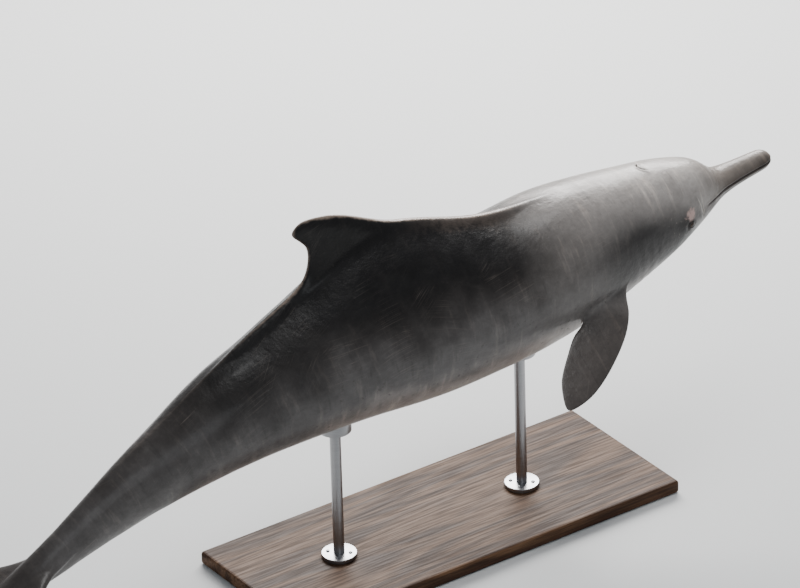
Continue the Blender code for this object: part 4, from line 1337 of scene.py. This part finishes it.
def steel_material():
    n = Nodes("stand_brushed_steel")
    drawn = n.noise(n.scaled(n.add("TexCoord", output="Object"), (6.0, 6.0, 1400.0)), 1.0, 3.0, 0.6)
    n.colour = n.mix(n.between(drawn, 0.3, 0.7), (0.32, 0.32, 0.33), (0.40, 0.40, 0.41))
    return n.finish(n.between(drawn, 0.3, 0.7, 0.30, 0.38), n.bump(drawn, 0.00003, 0.3), Metallic=1.0)


# ---------------- pieces
FLESH = (
    "beak_upper", "beak_lower", "melon", "head", "neck", "chest", "trunk", "hump", "dorsal_fin", "loin",
    "tail_stock", "fluke_root", "fluke_right", "fluke_left", "flipper_right", "flipper_left", "blowhole",
)


def eyeball(side, material, node):
    """An eyeball with a low cornea, in rings round its outward axis."""
    centre, outward, rearward, upward = eye_frame(side)
    height, spread = CORNEA
    turns = np.arange(EYE_SEGMENTS) * 2 * np.pi / EYE_SEGMENTS
    look = []
    for angle in np.linspace(0, np.pi, EYE_RINGS + 1)[1:-1]:
        ring = circle((0, 0), math.sin(angle), math.cos(angle), turns)
        look.append(ring * (1 + height * math.exp(-((angle / spread) ** 2))))
    look = np.concatenate([*look, [(0, 0, 1 + height), (0, 0, -1)]])
    front, back = len(look) - 2, len(look) - 1
    here = np.arange(front).reshape(-1, EYE_SEGMENTS)
    after = np.roll(here, -1, axis=1)
    faces = np.stack([here[:-1], after[:-1], after[1:], here[1:]], axis=-1).reshape(-1, 4).tolist()
    for k in range(EYE_SEGMENTS):
        faces.append((int(after[0, k]), int(here[0, k]), front))
        faces.append((int(here[-1, k]), int(after[-1, k]), back))
    mesh = bpy.data.meshes.new(node)
    points = centre + EYE_RADIUS * look @ np.array([rearward, upward, outward])
    mesh.from_pydata(placed(points).tolist(), [], faces)
    shape = bmesh.new()
    shape.from_mesh(mesh)
    finish_mesh(shape, mesh)
    add_values(mesh, "look", look)
    mesh.shade_smooth()
    new_piece(f"{node}ball", mesh, material, [node])


def build_animal():
    new_piece("dolphin_skin", skin_mesh(), skin_material(), FLESH)
    eye = eye_material()
    eyeball(-1, eye, "eye_right")
    eyeball(1, eye, "eye_left")


def stack_rings(shape, rings):
    """Adds a closed solid over rings of points, from the lowest to the highest."""
    rings = [[shape.verts.new(point) for point in ring] for ring in rings]
    shape.faces.new(rings[0][::-1])
    for below, above in zip(rings, rings[1:]):
        for k in range(len(below)):
            after = (k + 1) % len(below)
            shape.faces.new((below[k], below[after], above[after], above[k]))
    shape.faces.new(rings[-1])


def circle(centre, radius, height, turns):
    """Points round an upright line; radius and height are numbers or one value for each turn."""
    x, y = centre[0] + radius * np.cos(turns), centre[1] + radius * np.sin(turns)
    return np.stack([x, y, height + 0 * turns], axis=1)


def rounding(radius):
    """Radius and depth under the face for each ring of a rounded edge, from the side to the face."""
    turns = np.linspace(0, np.pi / 2, 5)
    return [(radius - STEEL_EDGE * (1 - math.cos(turn)), STEEL_EDGE * (1 - math.sin(turn))) for turn in turns]


def screw_head(shape, centre, low, start):
    """Adds a domed screw head with a six-sided socket."""
    turns = np.arange(SCREW_SIDES) * 2 * np.pi / SCREW_SIDES + start
    socket = SCREW_SOCKET / np.cos(turns % (np.pi / 3) - np.pi / 6)
    land = SCREW_SOCKET * 1.35
    profile = [(SCREW_RADIUS, 0.0)]
    for angle in np.linspace(0, np.pi / 2, 7)[:-1]:
        profile.append((land + (SCREW_RADIUS - land) * math.cos(angle), 0.25 + 0.75 * math.sin(angle)))
    profile += [(socket * 1.06, 1.0), (socket, 0.94), (socket, 0.40)]
    stack_rings(shape, [circle(centre, size, low + SCREW_HEIGHT * height, turns) for size, height in profile])


def belly_height(x, y):
    """Height of the belly over places of the floor, both arrays."""
    s = np.interp(SHIFT[0] - x, -SPINE_X, SPINE_S)
    for _ in range(8):
        _, bottom, width, widest, _, power = section(s)
        down = (1 - np.clip(np.abs(y) / width, 0, 1) ** power) ** (1 / power)
        point = placed(np.stack([s, y, widest - (bottom + widest) * down], axis=1))
        s = s + point[:, 0] - x
    return point[:, 2]


def cup_rings(centre, radius, low, turns):
    """A cup that follows the belly, just clear of it, with rounded edges."""
    def under(size, clear):
        belly = belly_height(*circle(centre, size, 0, turns)[:, :2].T)
        return circle(centre, size, belly - clear, turns)

    rings = [circle(centre, size, low + rise, turns) for size, rise in reversed(rounding(radius))]
    rings += [under(size, CUP_CLEAR + drop) for size, drop in rounding(radius)]
    return rings + [under(radius * share, 2 * CUP_CLEAR) for share in (0.8, 0.6, 0.4, 0.2, 0.02)]


def stand_steel(place, material):
    """Flange with its screws, rod and cup, in place of the CAD nodes of one rod."""
    shape = bmesh.new()
    turns = np.arange(TURNED_SIDES) * 2 * np.pi / TURNED_SIDES
    nodes = {kind: f"stand_{kind}_{place}" for kind in ("flange", "rod", "cup")}
    for kind, node in nodes.items():
        low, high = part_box(node)
        centre = [(low[i] + high[i]) / 2 for i in range(2)]
        radius = (high[1] - low[1]) / 2
        if kind == "cup":
            rings = cup_rings(centre, radius, low[2], turns)
        else:
            edge = rounding(radius) if kind == "flange" else [(radius, 0)]
            rings = [circle(centre, size, high[2] - drop, turns) for size, drop in edge]
            rings.insert(0, circle(centre, radius, low[2], turns))
        if kind == "flange":
            corners = circle(centre, SCREW_CIRCLE, 0, np.pi * (np.arange(4) + 0.5) / 2)
            for q, corner in enumerate(corners):
                screw_head(shape, corner, high[2], 0.7 * q + (place == "rear"))
        stack_rings(shape, rings)
    mesh = bpy.data.meshes.new("steel")
    shape.to_mesh(mesh)
    shape.free()
    mesh.shade_smooth()
    mesh.set_sharp_from_angle(angle=math.radians(35))
    new_piece(f"stand_steel_{place}", mesh, material, nodes.values())


def dress_stand():
    steel = steel_material()
    for place in ("front", "rear"):
        stand_steel(place, steel)
    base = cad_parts["stand_base"]
    base.data.materials.clear()
    base.data.materials.append(wood_material())


# ---------------- studio
def build_camera():
    """A camera that faces the beak's tip and is then turned until the tip is off its middle."""
    azimuth, elevation = CAMERA_AZIMUTH, CAMERA_ELEVATION
    right = Vector((math.cos(azimuth), math.sin(azimuth), 0))
    back = Vector((right.y, -right.x, 0)) * math.cos(elevation) + Vector((0, 0, math.sin(elevation)))
    up = back.cross(right)
    turned = (back * CAMERA_DISTANCE - right * FRAME_RIGHT - up * FRAME_UP).normalized()
    right = up.cross(turned).normalized()
    data = bpy.data.cameras.new("camera")
    data.lens = CAMERA_LENS
    data.sensor_width = 36
    data.clip_end = 100
    camera = link("camera", data)
    camera.location = Vector(SHIFT) + back * CAMERA_DISTANCE
    camera.rotation_euler = Matrix((right, turned.cross(right), turned)).transposed().to_euler()
    bpy.context.scene.camera = camera


def softbox(name, place, target, size, power, colour):
    data = bpy.data.lights.new(name, "AREA")
    data.shape = "RECTANGLE"
    data.size, data.size_y = size
    data.energy = power
    data.color = colour
    light = link(name, data)
    light.location = place
    light.rotation_euler = (Vector(target) - Vector(place)).to_track_quat("-Z", "Y").to_euler()


def build_studio():
    mesh = bpy.data.meshes.new("floor")
    mesh.from_pydata([(-30, -30, 0), (30, -30, 0), (30, 30, 0), (-30, 30, 0)], [], [(0, 1, 2, 3)])
    mesh.materials.append(Nodes("pale_floor", (0.62, 0.63, 0.63)).finish(0.75))
    link("floor", mesh)
    world = bpy.data.worlds.new("studio")
    world.use_nodes = True
    background = world.node_tree.nodes["Background"]
    background.inputs["Color"].default_value = SKY_COLOUR
    background.inputs["Strength"].default_value = SKY_STRENGTH
    bpy.context.scene.world = world
    for light in LIGHTS:
        softbox(*light)


build_animal()
dress_stand()
build_camera()
build_studio()
